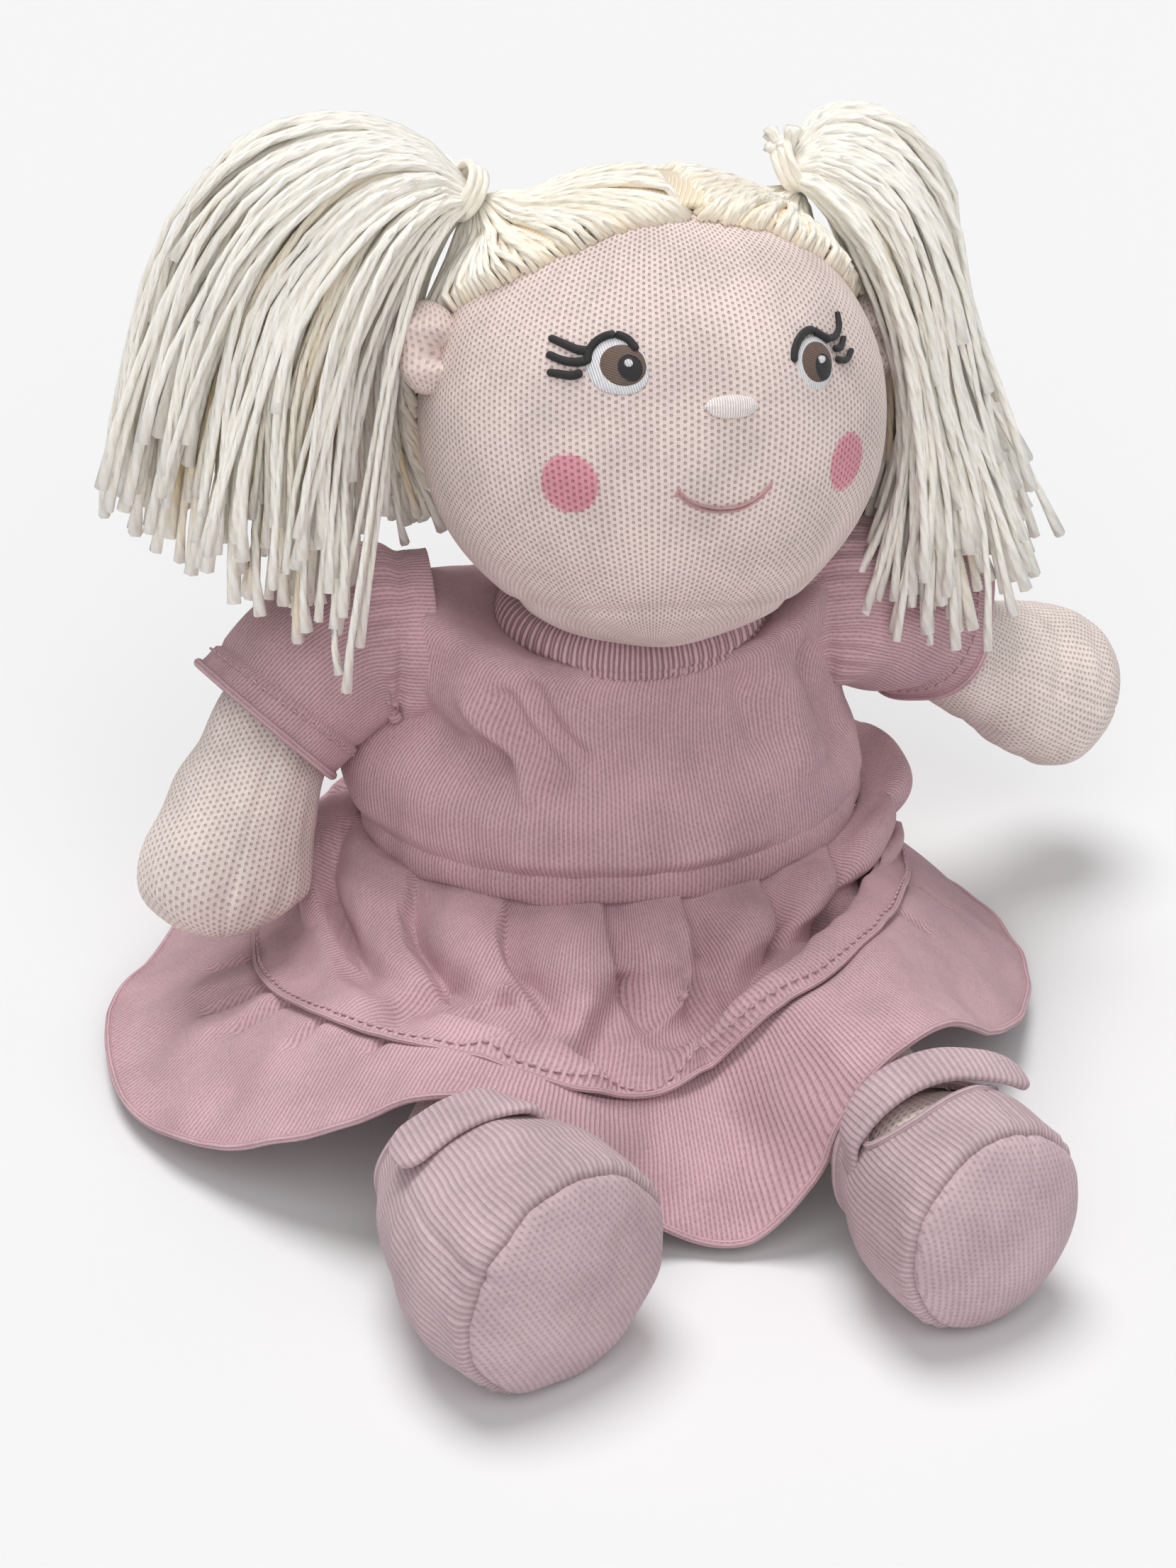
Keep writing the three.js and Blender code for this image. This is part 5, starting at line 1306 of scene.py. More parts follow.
def edge_roll(name, path, radius, material, body, slot):
    """A rolled edge: a circle carried along a closed path"""
    path = np.asarray(path, float)
    tangent = unit(np.roll(path, -1, axis=0) - np.roll(path, 1, axis=0))
    away = unit(path - path.mean(axis=0))
    side = unit(np.cross(tangent, away))
    away = np.cross(side, tangent)
    a = circle(10)
    grid = path[:, None] + (away[:, None] * np.cos(a)[:, None] + side[:, None] * np.sin(a)[:, None]) * radius
    grid = np.concatenate([grid, grid[:1]])
    length = lengths_along(np.vstack([path, path[:1]]))
    roll = grid_object(name, grid, stitches_of(grid, length, *KNITS["edge"]), material)
    merge_doubles(roll)
    return finish(roll, body, slot)


def make_shoes():
    """Shoes in three: a knit upper that follows the foot, 2.2 mm out, with a slot over the instep; a padded
    sole panel, the foot's own rounded end, sewn on behind a groove; and a strap that bridges the slot"""
    knit = knit_material("shoe knit", linear("shoe"), hole_share=0.6, holes=0.5, grooves=0.55, depth=0.32)
    rim = knit_material("shoe edge", linear("shoe"), hole_share=0.62, holes=0.3, grooves=0.5)
    plain = knit_material("sole knit", linear("shoe"), hole_share=0.66, holes=0.6, grooves=0.25, depth=0.25)
    for name, sign in SIDES.items():
        along, _, side = ways_of(name)
        ankle = hip_of(name) + along * ANKLE + UP * FOOT_RISE
        grid, place, angle = leg_grid(name, SHOE_GROW, rows=190, around=200)
        reach = ((grid - ankle) @ along).mean(axis=1)
        start = int(np.searchsorted(reach, SHOE_MOUTH[name]))
        sole_start = int(np.searchsorted(place, place[-1] - SOLE_DEPTH))
        over = (angle - np.pi / 2 + np.pi) % (2 * np.pi) - np.pi
        lumps = 0.7 * soft_noise(grid, 20, 61 + sign)
        groove = -1.5 * hump(place, place[sole_start], 1.1)[:, None]
        gathers = 0.25 * hump(place, place[sole_start] - 2.5, 2.5)[:, None] * np.sin(over * 34)[None, :]
        toe_seam = -0.8 * hump(over, -0.5 * sign, 0.045)[None, :]
        toe_seam = toe_seam * ramp(place, place[start] + 14, place[start] + 22)[:, None]
        whole = lifted_tube(grid, lumps + groove + gathers + toe_seam)
        whole[..., 2] = np.maximum(whole[..., 2], FLOOR_GAP)
        upper_grid = whole[start:sole_start + 1]
        rows_along = place[start:sole_start + 1]
        fabric = stitches_of(upper_grid, rows_along, *KNITS["shoe"])
        upper = grid_object(f"shoe_knit_{name}", upper_grid, fabric, knit)
        slot_middle = place[start] + SLOT_PLACE[name]
        cut_slot(upper, rows_along, over, slot_middle, SLOT_HALF[name], SLOT_TURN[name])
        thicken(upper, 1.7)
        finish(upper, f"leg_{name}", "shoe_knit", f"shoe_upper_{name}")
        a = circle(60)
        rim_path = sample_grid(upper_grid, rows_along, over, slot_middle + SLOT_HALF[name] * np.cos(a),
                               SLOT_TURN[name] * np.sin(a))
        edge_roll(f"shoe_slot_edge_{name}", rim_path, 0.95, rim, f"leg_{name}", "shoe_knit")
        edge_roll(f"shoe_mouth_edge_{name}", upper_grid[0][::3], 1.1, rim, f"leg_{name}", "shoe_knit")
        panel = whole[sole_start:]
        middle = panel[-1].mean(axis=0)
        facing = unit(middle - panel[0].mean(axis=0))
        flat_side = unit(side - facing * (side @ facing))
        flat_up = np.cross(facing, flat_side)
        fabric = np.stack([(panel - middle) @ way / DRESS_COURSE for way in (flat_side, flat_up)], axis=-1)
        fabric = np.concatenate([fabric, fabric[:, :1]], axis=1)
        sole = grid_object(f"sole_knit_{name}", panel, fabric, plain, end_pole=True)
        finish(sole, f"leg_{name}", "shoe_knit", f"shoe_sole_{name}")
        make_strap(name, knit, grid, place, over, place[start])


def sample_grid(grid, place, over, rows_at, turns):
    """Points of a tube's grid at places along it and turns from its top"""
    order = np.argsort(over)
    row = np.interp(rows_at, place, np.arange(len(place)))
    column = np.interp(turns, over[order], np.arange(len(order)))
    r0 = np.clip(row.astype(int), 0, len(place) - 2)
    c0 = np.clip(column.astype(int), 0, len(order) - 2)
    fr, fc = (row - r0)[:, None], (column - c0)[:, None]
    g = grid[:, order]
    return ((1 - fr) * (1 - fc) * g[r0, c0] + fr * (1 - fc) * g[r0 + 1, c0]
            + (1 - fr) * fc * g[r0, c0 + 1] + fr * fc * g[r0 + 1, c0 + 1])


def cut_slot(obj, place, over, middle, half_length, half_turn):
    """Takes out the points of a tube inside an oval of places along it and turns from its top"""
    inside = (((place - middle) / half_length)[:, None] ** 2 + (over / half_turn)[None, :] ** 2 < 1).ravel()

    def cut(shape):
        shape.verts.ensure_lookup_table()
        gone = [point for point in shape.verts if inside[point.index]]
        bmesh.ops.delete(shape, geom=gone, context="VERTS")
    reshape(obj, cut)


def make_strap(name, material, grid, place, over, mouth):
    """A strap over the instep: a flattened round section carried over the foot from its fold on the inner
    side to a rounded free end on the outer side. It bows up by a sine and its free end stands up a little."""
    steps, around = 54, 24
    s = np.linspace(0, 1, steps)
    fold, free, bow, tip, widest, tilt = STRAPS[name].values()
    middle = mouth + fold[0] + (free[0] - fold[0]) * s
    turns = fold[1] + (free[1] - fold[1]) * s
    path = sample_grid(grid, place, over, middle, turns)
    ahead = sample_grid(grid, place, over, middle + 2.0, turns)
    way = unit(ahead - path)
    tangent = unit(np.gradient(path, axis=0))
    out = unit(np.cross(way, tangent))
    centre = grid.reshape(-1, 3).mean(axis=0)
    out = out * np.sign((out * (path - centre)).sum())
    lift = 1.5 + bow * np.sin(np.pi * s ** 1.5) + tip * ramp(s, 0.72, 1.0) - 3.0 * ramp(-s, -0.16, 0.0)
    length = lengths_along(path)
    left = length[-1] - length
    half = np.where(left < 6, arch(1 - left / 6), 1.0) * widest
    a = circle(around)
    c, d = np.cos(a), np.sin(a)
    flat_c = np.sign(c) * np.abs(c) ** 0.55
    flat_d = np.sign(d) * np.abs(d) ** 0.8
    tilt = (tilt * ramp(s, 0.05, 0.4))[:, None]
    wide = way * np.cos(tilt) - out * np.sin(tilt)
    high = out * np.cos(tilt) + way * np.sin(tilt)
    body = (path + out * (lift[:, None] + 0.7 * widest * np.sin(tilt)))[:, None]
    body = body + wide[:, None] * (half[:, None] * flat_c)[..., None]
    section = body + high[:, None] * (np.minimum(half / 6 + 0.35, 1)[:, None] * 1.5 * flat_d)[..., None]
    section[-1] = section[-1].mean(axis=0)
    fabric = stitches_of(section, length, *KNITS["strap"])[..., ::-1]
    strap = grid_object(f"shoe_strap_knit_{name}", section, fabric, material, end_pole=True)
    close_ends(strap)
    finish(strap, f"strap_{name}", "shoe_knit", f"shoe_strap_{name}")


# Dress

def make_trunk():
    """The stuffed trunk under the dress: an oval section carried up the body, flat where it sits"""
    widths, depths = (np.array(halves) - TRUNK_INSET for halves in (BODY_WIDTHS, BODY_DEPTHS))
    grid, place, _ = stuffed(BODY_LINE, widths, depths, (1, 0, 0), 14, 5, rows=60, around=120)
    grid[..., 2] = np.maximum(grid[..., 2], FLOOR_GAP)
    skin = knit_material("trunk knit", linear("limb"), hole_share=0.68)
    trunk = closed_object("trunk_knit", grid, stitches_of(grid, place, *KNITS["trunk"]), skin)
    finish(trunk, "torso", "limb_knit", "torso")


# The bodice's rows: height, half width, half depth, middle across and back, and rise over the shoulders
BODICE_ROWS = [
    (56.0, 65.2, 49.7, 0, -5, 0), (60, 65.8, 50.2, 0, -5, 0), (66, 64.8, 48.8, 0, -4.5, 0),
    (76, 62.6, 45.6, 0, -4, 0), (85, 60.4, 41.8, 0, -3.5, 0), (92, 59.2, 38.4, 0, -3, 2),
    (99, 58.4, 36.6, 0.4, -2.8, 8), (103.5, 55.5, 35.2, 1.2, -3.8, 13), (106, 48.5, 33.6, 2.4, -5.2, 10),
    (107, 40, 32.4, 3.8, -6.4, 4), (106, 33, 31.6, 5, -7, 0.5), (103, 29.0, 29.0, 5, -7, 0),
]

# Folds of the bodice's front: a path of x and z, then width and height (below 0 a hollow)
BODICE_FOLDS = [
    ([(-54, 88), (-45, 84), (-36, 83)], 5.5, -5.0), ([(-50, 72), (-34, 70), (-18, 72)], 8, 2.4),
    ([(-33, 98), (-28, 90), (-20, 81)], 3.2, -3.2), ([(-39, 97), (-34, 89), (-27, 79)], 3.4, 2.4),
    ([(-25, 101), (-21, 93), (-15, 86)], 2.6, -2.4), ([(-20, 101), (-15, 93), (-8, 86)], 4, 1.4),
    ([(48, 98), (53, 86), (57, 74)], 4.5, -4.0), ([(40, 97), (44, 86), (47, 76)], 5, 2.0),
    ([(-8, 78), (6, 80), (22, 78)], 9, -1.2), ([(-30, 62), (0, 61), (30, 62)], 5, 1.2),
    ([(26, 99), (30, 92), (32, 84)], 3, -1.4),
]


def dress_knit(name, **settings):
    """The dress's rose knit, with other values where a piece differs"""
    values = {"hole_share": 0.6, "holes": 0.7, "grooves": 0.5, "depth": 0.3, **settings}
    return knit_material(name, linear("dress"), **values)


def make_bodice():
    """The bodice: ovals lofted from the waist over the shoulders to the neck, where a row rises over the
    shoulders by rise times |cos|^3; soft folds and hollows follow paths over its front"""
    rows, around = 104, 300
    at = np.linspace(0, 1, rows)
    height, half_x, half_y, mid_x, mid_y, rise = eased(np.array(BODICE_ROWS, float), at).T
    a = circle(around)[None, :] + np.pi / 2
    x = mid_x[:, None] + half_x[:, None] * np.cos(a)
    y = mid_y[:, None] + half_y[:, None] * np.sin(a)
    z = height[:, None] + rise[:, None] * np.abs(np.cos(a)) ** 3
    grid = np.stack([x, y, z], axis=-1)
    folds = 1.3 * folds_along(x, z, BODICE_FOLDS) * ramp(-y, -8, 6)
    folds = folds + 0.9 * soft_noise(grid, 34, 71) + 0.45 * soft_noise(grid * (1, 1, 0.35), 10, 72)
    under_arm = 7.0 * hump(a, np.pi, 0.5) * hump(z, 74, 16)
    folds = (folds + under_arm) * ramp(at, 0.0, 0.12)[:, None] * (1 - ramp(at, 0.86, 0.97))[:, None]
    grid = lifted_tube(grid, folds)
    wales = wales_round(BODICE_RADIUS, sizes().dress_pitch)
    fabric = stitches_of(grid, lengths_along(grid[:, 0]), wales, DRESS_COURSE)
    bodice = grid_object("bodice_knit", grid, fabric, dress_knit("bodice knit"))
    thicken(bodice, 1.5)
    finish(bodice, "torso", "rose_knit", "bodice")


# The collar's section, closed: distances from the neck's middle and heights
COLLAR_SECTION = [(32.4, 104.4), (34.4, 106.0), (34.8, 108.8), (33.8, 112.0), (31.6, 114.6), (28.6, 115.6),
                  (26.0, 114.6), (24.8, 111), (24.4, 106), (25.0, 102.5), (28.6, 101.8), (32.4, 104.4)]
COLLAR_RIBS = 80


def make_collar():
    """The collar: a section that bulges out and turns in over its top, carried round the neck, ribbed"""
    rows, around = 60, 480
    closed = eased(COLLAR_SECTION, np.linspace(0, 1, rows))
    a = circle(around) + np.pi / 2
    outside = (closed[:, 0] > 28.4)[:, None]
    ribs = 0.34 * np.cos(a * COLLAR_RIBS)[None, :] * outside
    stitch_line = -0.7 * hump(closed[:, 1], 107.6, 0.6)[:, None] * outside
    radius = closed[:, 0][:, None] + ribs + stitch_line
    z = closed[:, 1][:, None] + 0.7 * np.sin(2 * a + 0.6)[None, :] + 1.5 * np.cos(a)[None, :]
    grid = np.stack([NECK_FOOT[0] + radius * np.cos(a), NECK_FOOT[1] + radius * np.sin(a), z], axis=-1)
    fabric = stitches_of(grid, lengths_along(closed), *KNITS["collar"])
    # The collar's knit has darker holes and strong grooves: painted shade in its ribs, darker than the rest
    # of the dress
    knit = dress_knit("collar knit", hole_share=0.46, holes=0.3, grooves=0.95)
    collar = grid_object("collar_knit", grid, fabric, knit)
    merge_doubles(collar)
    finish(collar, "torso", "rose_knit", "collar")


def waist_ring(angle, out, height):
    """Places round the waist: an oval of the waist's radii, out further, at a height"""
    x = np.sin(angle) * (WAIST_RADII[0] + out)
    y = WAIST_MIDDLE - np.cos(angle) * (WAIST_RADII[1] + out)
    return np.stack([x, y, height * np.ones_like(angle)], axis=-1)


def make_waist():
    """The rolled waist: a flat oval section carried round the waist, its lower edge wavy over the pleats"""
    around, sides = 320, 22
    angle = np.linspace(-np.pi, np.pi, around, endpoint=False)
    b = circle(sides)
    wave = 0.4 * np.sin(13 * angle + 1) + 0.3 * np.sin(29 * angle)
    drop = 0.6 * np.sin(9 * angle + 2) + 0.4 * np.sin(21 * angle)
    out = 0.9 + wave[:, None] * 0.5 + 1.9 * (np.sign(np.cos(b)) * np.abs(np.cos(b)) ** 0.6)[None, :]
    height = 53.2 + 4.6 * np.sin(b)[None, :] + drop[:, None] * np.clip(-np.sin(b), 0, 1)[None, :]
    grid = waist_ring(angle[:, None] * np.ones((1, sides)), out, height)
    grid = np.concatenate([grid, grid[:1]])
    fabric = stitches_of(grid, np.linspace(0, 350, around + 1), 14)[..., ::-1]
    band = grid_object("waist_knit", grid, fabric, dress_knit("waist knit"))
    merge_doubles(band)
    finish(band, "torso", "rose_knit", "waist_band")


# Knife pleats: the folds' edges as angles from the front, each lapping over the pleat on its right
PLEAT_EDGES = np.array([-170, -146, -120, -92, -66, -41, -13, 10, 35, 58, 84, 110, 136, 160.0])

# Soft folds of the upper tier: a path of angles and shares of the way down, then width and height
TIER_FOLDS = [
    ([(88, 0.62), (66, 0.72), (46, 0.80), (26, 0.84), (12, 0.90), (3, 0.97)], 6.5, 5.5),
    ([(80, 0.38), (58, 0.44), (38, 0.52), (22, 0.62), (10, 0.72)], 7.5, -7.0),
    ([(8, 0.45), (4, 0.56), (-3, 0.66), (-6, 0.74), (-3, 0.83), (2, 0.95)], 3.8, 3.6),
    ([(-7, 0.40), (-10, 0.55), (-12, 0.68), (-9, 0.80), (-4, 0.90)], 4.8, -5.0),
    ([(-15, 0.55), (-16, 0.68), (-17, 0.82), (-13, 0.93), (-11, 0.99)], 3.2, 3.0),
    ([(-28, 0.55), (-32, 0.68), (-33, 0.78), (-28, 0.85), (-23, 0.89), (-24, 0.97)], 3.2, 3.6),
    ([(-38, 0.55), (-40, 0.72), (-38, 0.86)], 4.0, -3.4),
    ([(-26, 0.62), (-27, 0.74), (-22, 0.81)], 2.6, -3.4),
    ([(-66, 0.60), (-56, 0.74), (-46, 0.84)], 4.5, 2.2),
]

# Darts of the flounce just under the seam, in the same way
FLOUNCE_FOLDS = [
    ([(-78, 0.0), (-82, 0.35)], 1.8, -2.4), ([(-66, 0.0), (-71, 0.40)], 1.8, -2.6),
    ([(-57, 0.0), (-62, 0.34)], 1.6, -2.2), ([(-47, 0.0), (-50, 0.30)], 1.6, -2.0),
    ([(-72, 0.05), (-77, 0.45)], 3.0, 1.2), ([(-61, 0.05), (-66, 0.45)], 2.6, 1.2),
    ([(-36, 0.0), (-38, 0.22)], 1.6, -1.6), ([(46, 0.0), (50, 0.3)], 2.0, -1.8),
    ([(64, 0.0), (70, 0.4)], 2.4, -2.2),
]

# On the fabric, millimetres for each degree round the skirt and for the whole way down a tier
TIER_SCALE = (1.6, 60.0)
FLOUNCE_SCALE = (2.0, 36.0)

# A point under the skirt, from which its outer side is told
UNDER_SKIRT = (0, 0, -200)


def skirt_folds(angle, share, folds, scale):
    """Soft folds on a tier, their paths taken to millimetres on the fabric"""
    placed = [(np.asarray(path) * scale, wide, high) for path, wide, high in folds]
    return folds_along(angle * scale[0], share * scale[1], placed)


def spokes_at(angle):
    """Seam reach and height and hem reach and height at angles, eased round between the measured spokes"""
    table = SKIRT_SPOKES
    count = len(table)
    wrapped = (np.asarray(angle, float) + 180) % 360 - 180
    starts = table[:, 0]
    k = np.searchsorted(starts, wrapped, side="right") - 1
    stops = np.append(starts[1:], 180.0)
    t = ((wrapped - starts[k]) / (stops[k] - starts[k]))[..., None]
    before, first, last, after = (table[(k + i) % count][..., 1:] for i in (-1, 0, 1, 2))
    return np.moveaxis(cubic(first, last, (last - before) / 2, (after - first) / 2, t), -1, 0)


def pleat_height(angle, down):
    """0 at each fold's edge, a drop to -1 just past it, sharp at the waist and softer lower down, and a rise
    to a crowned panel before the next edge. The pleats hang straight down, so lower down an angle belongs
    to a wider one at the waist."""
    hang = 0.8 * np.minimum(down, 0.6) * np.cos(np.radians(angle) / 2) ** 2
    wrapped = (angle / (1 - hang) + 180) % 360 - 180
    count = len(PLEAT_EDGES)
    k = (np.searchsorted(PLEAT_EDGES, wrapped, side="right") - 1) % count
    start = PLEAT_EDGES[k]
    t = ((wrapped - start) % 360) / ((PLEAT_EDGES[(k + 1) % count] - start) % 360)
    soft = 0.07 + 0.3 * ramp(down, 0.3, 0.7)
    return 0.22 * np.sin(np.pi * np.clip(t * 1.25 - 0.25, 0, 1)) - ramp(t, 0.0, soft) * (1 - t) ** 2.0


def upper_tier(angle, down):
    """The tier's surface: from the waist's oval to the seam, its reach growing by a power of down and its
    height falling by a power that is larger where it lies over the lap. In front it bells out under the
    waist and dips into a valley before the seam."""
    seam_reach, seam_height, _, _ = spokes_at(angle)
    r = np.radians(angle)
    waist = 1 / np.sqrt((np.sin(r) / WAIST_RADII[0]) ** 2 + (np.cos(r) / WAIST_RADII[1]) ** 2)
    lap = np.clip((seam_height - 24) / 30, 0, 1)
    front = hump(angle, 0, 70)
    reach = waist + (seam_reach - waist) * down ** (0.8 + 0.45 * front) + 6.5 * front * hump(down, 0.27, 0.17)
    height = 49.4 + (seam_height - 49.4) * down ** (0.7 + 0.4 * lap) - 9 * lap * np.sin(np.pi * down ** 0.7)
    height = height + front * (2.5 * hump(down, 0.2, 0.18) - 6.0 * hump(down, 0.64, 0.19))
    return np.stack([np.sin(r) * reach, -np.cos(r) * reach + WAIST_MIDDLE * (1 - down), height], axis=-1)


def over_legs(grid, gap):
    """Cloth laid over the legs: its height is at least the legs' oval tops plus a gap"""
    for name, leg in LEGS.items():
        along, across, _ = ways_of(name)
        place = grid - hip_of(name)
        far, off = place @ along, place @ across
        wide = np.interp(far, LEG_STATIONS, leg["widths"][:4]) + gap + 1.5
        high = np.interp(far, LEG_STATIONS, leg["heights"][:4]) + gap
        top = np.interp(far, LEG_STATIONS, LEG_RISES) + high * arch(off / wide)
        over = (np.abs(off) < wide) & (far > LEG_STATIONS[0] - 2) & (far < ANKLE + 8)
        grid[..., 2] = np.where(over, np.maximum(grid[..., 2], top), grid[..., 2])
    return grid


def uneven_angles(front, back):
    """Angles round the skirt from -180 to 180, closer together in the front part than in the rest"""
    half_width = 105.0
    left = np.linspace(-180, -half_width, back // 2, endpoint=False)
    middle = np.linspace(-half_width, half_width, front, endpoint=False)
    right = np.linspace(half_width, 180, back // 2, endpoint=False)
    return np.concatenate([left, middle, right])


def skirt_fabric(angle, lengths, radius):
    """Places on the skirt's fabric for a ring grid: wales by the angle, courses by the length down"""
    across = (np.append(angle, 180.0) + 180) / 360 * wales_round(radius, sizes().dress_pitch)
    return np.stack(np.meshgrid(across, lengths / DRESS_COURSE), axis=-1)


def lower_tier(angle, share):
    """The flounce's surface: from the seam straight out to the hem, drooping by share^1.1, in flutes"""
    seam_reach, seam_height, hem_reach, hem_height = spokes_at(angle)
    r = np.radians(angle)
    reach = seam_reach - 3.0 + (hem_reach - seam_reach + 3.0) * share
    height = seam_height + (hem_height - seam_height) * share ** 1.1
    return np.stack([np.sin(r) * reach, -np.cos(r) * reach, height], axis=-1)


def skirt_grid(surface, front, back, rows):
    """A tier's surface as a grid, with the angle and the share of the way down of its places"""
    angle = uneven_angles(front, back)[None, :]
    down = np.linspace(0.0, 1.0, rows)[:, None]
    return surface(angle * np.ones_like(down), down * np.ones_like(angle)), angle, down


def make_upper_tier():
    """The pleated tier: the measured surface, moved along its normals by the pleats, the folds, a puff over
    the left hip and soft lumps, and kept above the legs; a row of stitches and a thin roll end it"""
    rows = 96
    grid, angle, down = skirt_grid(upper_tier, 350, 100, rows)
    deep = 10.0 * (0.3 + 0.7 * ramp(down, 0.0, 0.3)) * (1 - 0.9 * ramp(down, 0.45, 0.85))
    deep = deep * (1 - 0.95 * hump(angle, 98, 24))
    lift = deep * (pleat_height(angle, down) + 0.3) + skirt_folds(angle, down, TIER_FOLDS, TIER_SCALE)
    lift = lift + 16 * hump(angle, 100, 36) * hump(down, 0.22, 0.22)
    lift = lift + 9 * hump(angle, -90, 24) * hump(down, 0.2, 0.25)
    lift = lift + 0.8 * soft_noise(grid, 30, 81) + 0.35 * soft_noise(grid, 9, 82)
    settle = ramp(down, -0.03, 0.03) * (1 - 0.7 * ramp(down, 0.95, 1.0))
    grid = over_legs(lifted(grid, lift * settle, UNDER_SKIRT), 1.6)
    fabric = skirt_fabric(angle[0], np.linspace(0, 62, rows), TIER_RADIUS)
    knit = dress_knit("skirt knit")
    tier = grid_object("upper_tier_knit", grid, fabric, knit, facing=(0, 0, 1))
    thicken(tier, 1.3)
    finish(tier, "torso", "rose_knit", "skirt_upper_tier")
    edge_roll("tier_edge", grid[-1] - (0, 0, 0.3), 0.75, knit, "torso", "rose_knit")
    stitch_row("tier_stitches", grid[-4] + (0, 0, 0.35), "torso")


def stitch_row(name, path, body):
    """A row of short straight stitches along a closed path, each bowed up by a sine"""
    pitch, length = 3.2, 2.1
    closed = np.vstack([path, path[:1]])
    lengths = lengths_along(closed)
    at = np.arange(0, lengths[-1] - pitch, pitch)
    starts, ends = (places_at(at + step, lengths, closed) for step in (0, length))
    ups = unit(starts - path.mean(axis=0) + (0, 0, 60))
    thread = bpy.data.materials.get("dress thread") or satin_material("dress thread", linear("dress"))
    u = np.linspace(0, 1, 5)[None, :]
    paths = starts[:, None] + (ends - starts)[:, None] * u[..., None]
    paths = paths + ups[:, None] * (np.sin(np.pi * u) * 0.35)[..., None]
    radii = 0.4 * (0.35 + 0.65 * np.sin(np.pi * u)) * np.ones((len(at), 1))
    stitches = strand_object(name, paths, radii, np.zeros(radii.shape), thread)
    return finish(stitches, body, "rose_knit")


def make_flounce():
    """The flounce: the measured surface, moved along its normals by flutes, darts under the seam and soft
    lumps, kept above the legs and the floor, and ended by a rolled hem"""
    rows = 60
    grid, angle, share = skirt_grid(lower_tier, 380, 120, rows)
    r = np.radians(angle)
    flutes = 1.1 * np.sin(13 * r + 1 + 0.8 * np.sin(3 * r)) + 0.25 * np.sin(31 * r + 2 * np.sin(5 * r))
    lift = flutes * share + skirt_folds(angle, share, FLOUNCE_FOLDS, FLOUNCE_SCALE)
    lift = lift + 0.7 * soft_noise(grid, 26, 91)
    grid = lifted(grid, lift * ramp(share, -0.05, 0.08), UNDER_SKIRT)
    grid[..., 2] -= 1.7 * (1 - ramp(share, 0.04, 0.16))
    grid = over_legs(grid, 0.5)
    grid[..., 2] = np.maximum(grid[..., 2], HEM_GAP)
    fabric = skirt_fabric(angle[0], np.linspace(0, 40, rows), FLOUNCE_RADIUS)
    knit = dress_knit("flounce knit")
    flounce = grid_object("flounce_knit", grid, fabric, knit, facing=(0, 0, 1))
    thicken(flounce, 1.2)
    finish(flounce, "torso", "rose_knit", "skirt_flounce")
    edge_roll("flounce_hem", grid[-1], 1.0, knit, "torso", "rose_knit")


# How much longer each sleeve is on one side, and that side
SLEEVE_LEAN = {"right": 9.0, "left": 3.0}
SLEEVE_OUTER = {"right": (-0.8, -0.3, 0.5), "left": (0.0, -0.3, 0.95)}
SLEEVE_WIDTHS = [22.5, 22.8, 21.4]
SLEEVE_HEIGHTS = [22.5, 22.4, 20.9]


def make_sleeves():
    """Each sleeve: an oval tube from the armhole along the arm, puckered at the armhole and turned in at
    its hem, which is a thicker band with a row of stitches over it"""
    for name, sign in SIDES.items():
        shoulder = SHOULDER * (sign, 1, 1)
        third = np.asarray(ARM_LINES[name][2], float) + (0, 0, 4)
        line = [shoulder + (-sign * 12, 0, 0), shoulder + (sign * 6, 0, 0), third]
        grid, place, angle = stuffed(line, SLEEVE_WIDTHS, SLEEVE_HEIGHTS, (0, 1, 0), rows=66, around=190)
        end = place[-1]
        pucker = 0.6 * np.sin(angle * 26)[None, :] * hump(place, 12.5, 5)[:, None]
        drape = 0.8 * np.sin(angle * 4 + sign)[None, :] * ramp(place, end - 20, end)[:, None]
        folds = 1.2 * soft_noise(grid, 22, 101 + sign) + pucker + drape
        armhole = -1.1 * hump(place, 9.0, 1.6)[:, None]
        hem = 0.7 * ramp(place, end - 7.6, end - 7.0)[:, None] - 0.5 * hump(place, end - 7.8, 0.7)[:, None]
        grid = lifted_tube(grid, folds + armhole + hem)
        outer = ((grid - grid.mean(axis=1, keepdims=True)) @ np.array(SLEEVE_OUTER[name])) / 20
        way = unit(np.gradient(grid.mean(axis=1), axis=0))[:, None]
        lean = SLEEVE_LEAN[name] * (0.5 + 0.5 * outer) * ramp(place, 14, end)[:, None]
        grid = grid + way * lean[..., None]
        knit = dress_knit(f"sleeve knit {name}")
        fabric = stitches_of(grid, place, *KNITS["sleeve"])
        sleeve = grid_object(f"sleeve_knit_{name}", grid, fabric, knit)
        thicken(sleeve, 1.5)
        finish(sleeve, f"arm_{name}", "rose_knit", f"sleeve_{name}")
        edge_roll(f"sleeve_hem_{name}", grid[-1], 1.2, knit, f"arm_{name}", "rose_knit")
        row = int(np.searchsorted(place, end - 6.0))
        outside = lifted_tube(grid, np.full(grid.shape[:2], 0.3))
        stitch_row(f"sleeve_stitches_{name}", outside[row], f"arm_{name}")


# Movement, key and button

# The nodes that keep the frame's shapes, by finish: its colour, a metal's roughness, and the nodes
FINISHES = {
    "polished steel": ((0.62, 0.61, 0.6, 1.0), 0.3,
                       "bedplate", "comb", "winding_shaft", "winding_key", "governor_fly"),
    "turned brass": ((0.72, 0.52, 0.24, 1.0), 0.32,
                     "spring_barrel", "pinned_cylinder", "governor_bracket", "comb_screw_1", "comb_screw_2"),
    "white moulded plastic": ((0.78, 0.77, 0.74, 1.0), None, "movement_case", "case_lid"),
    "rose button plastic": ((0.6, 0.36, 0.4, 1.0), None, "dress_button"),
}


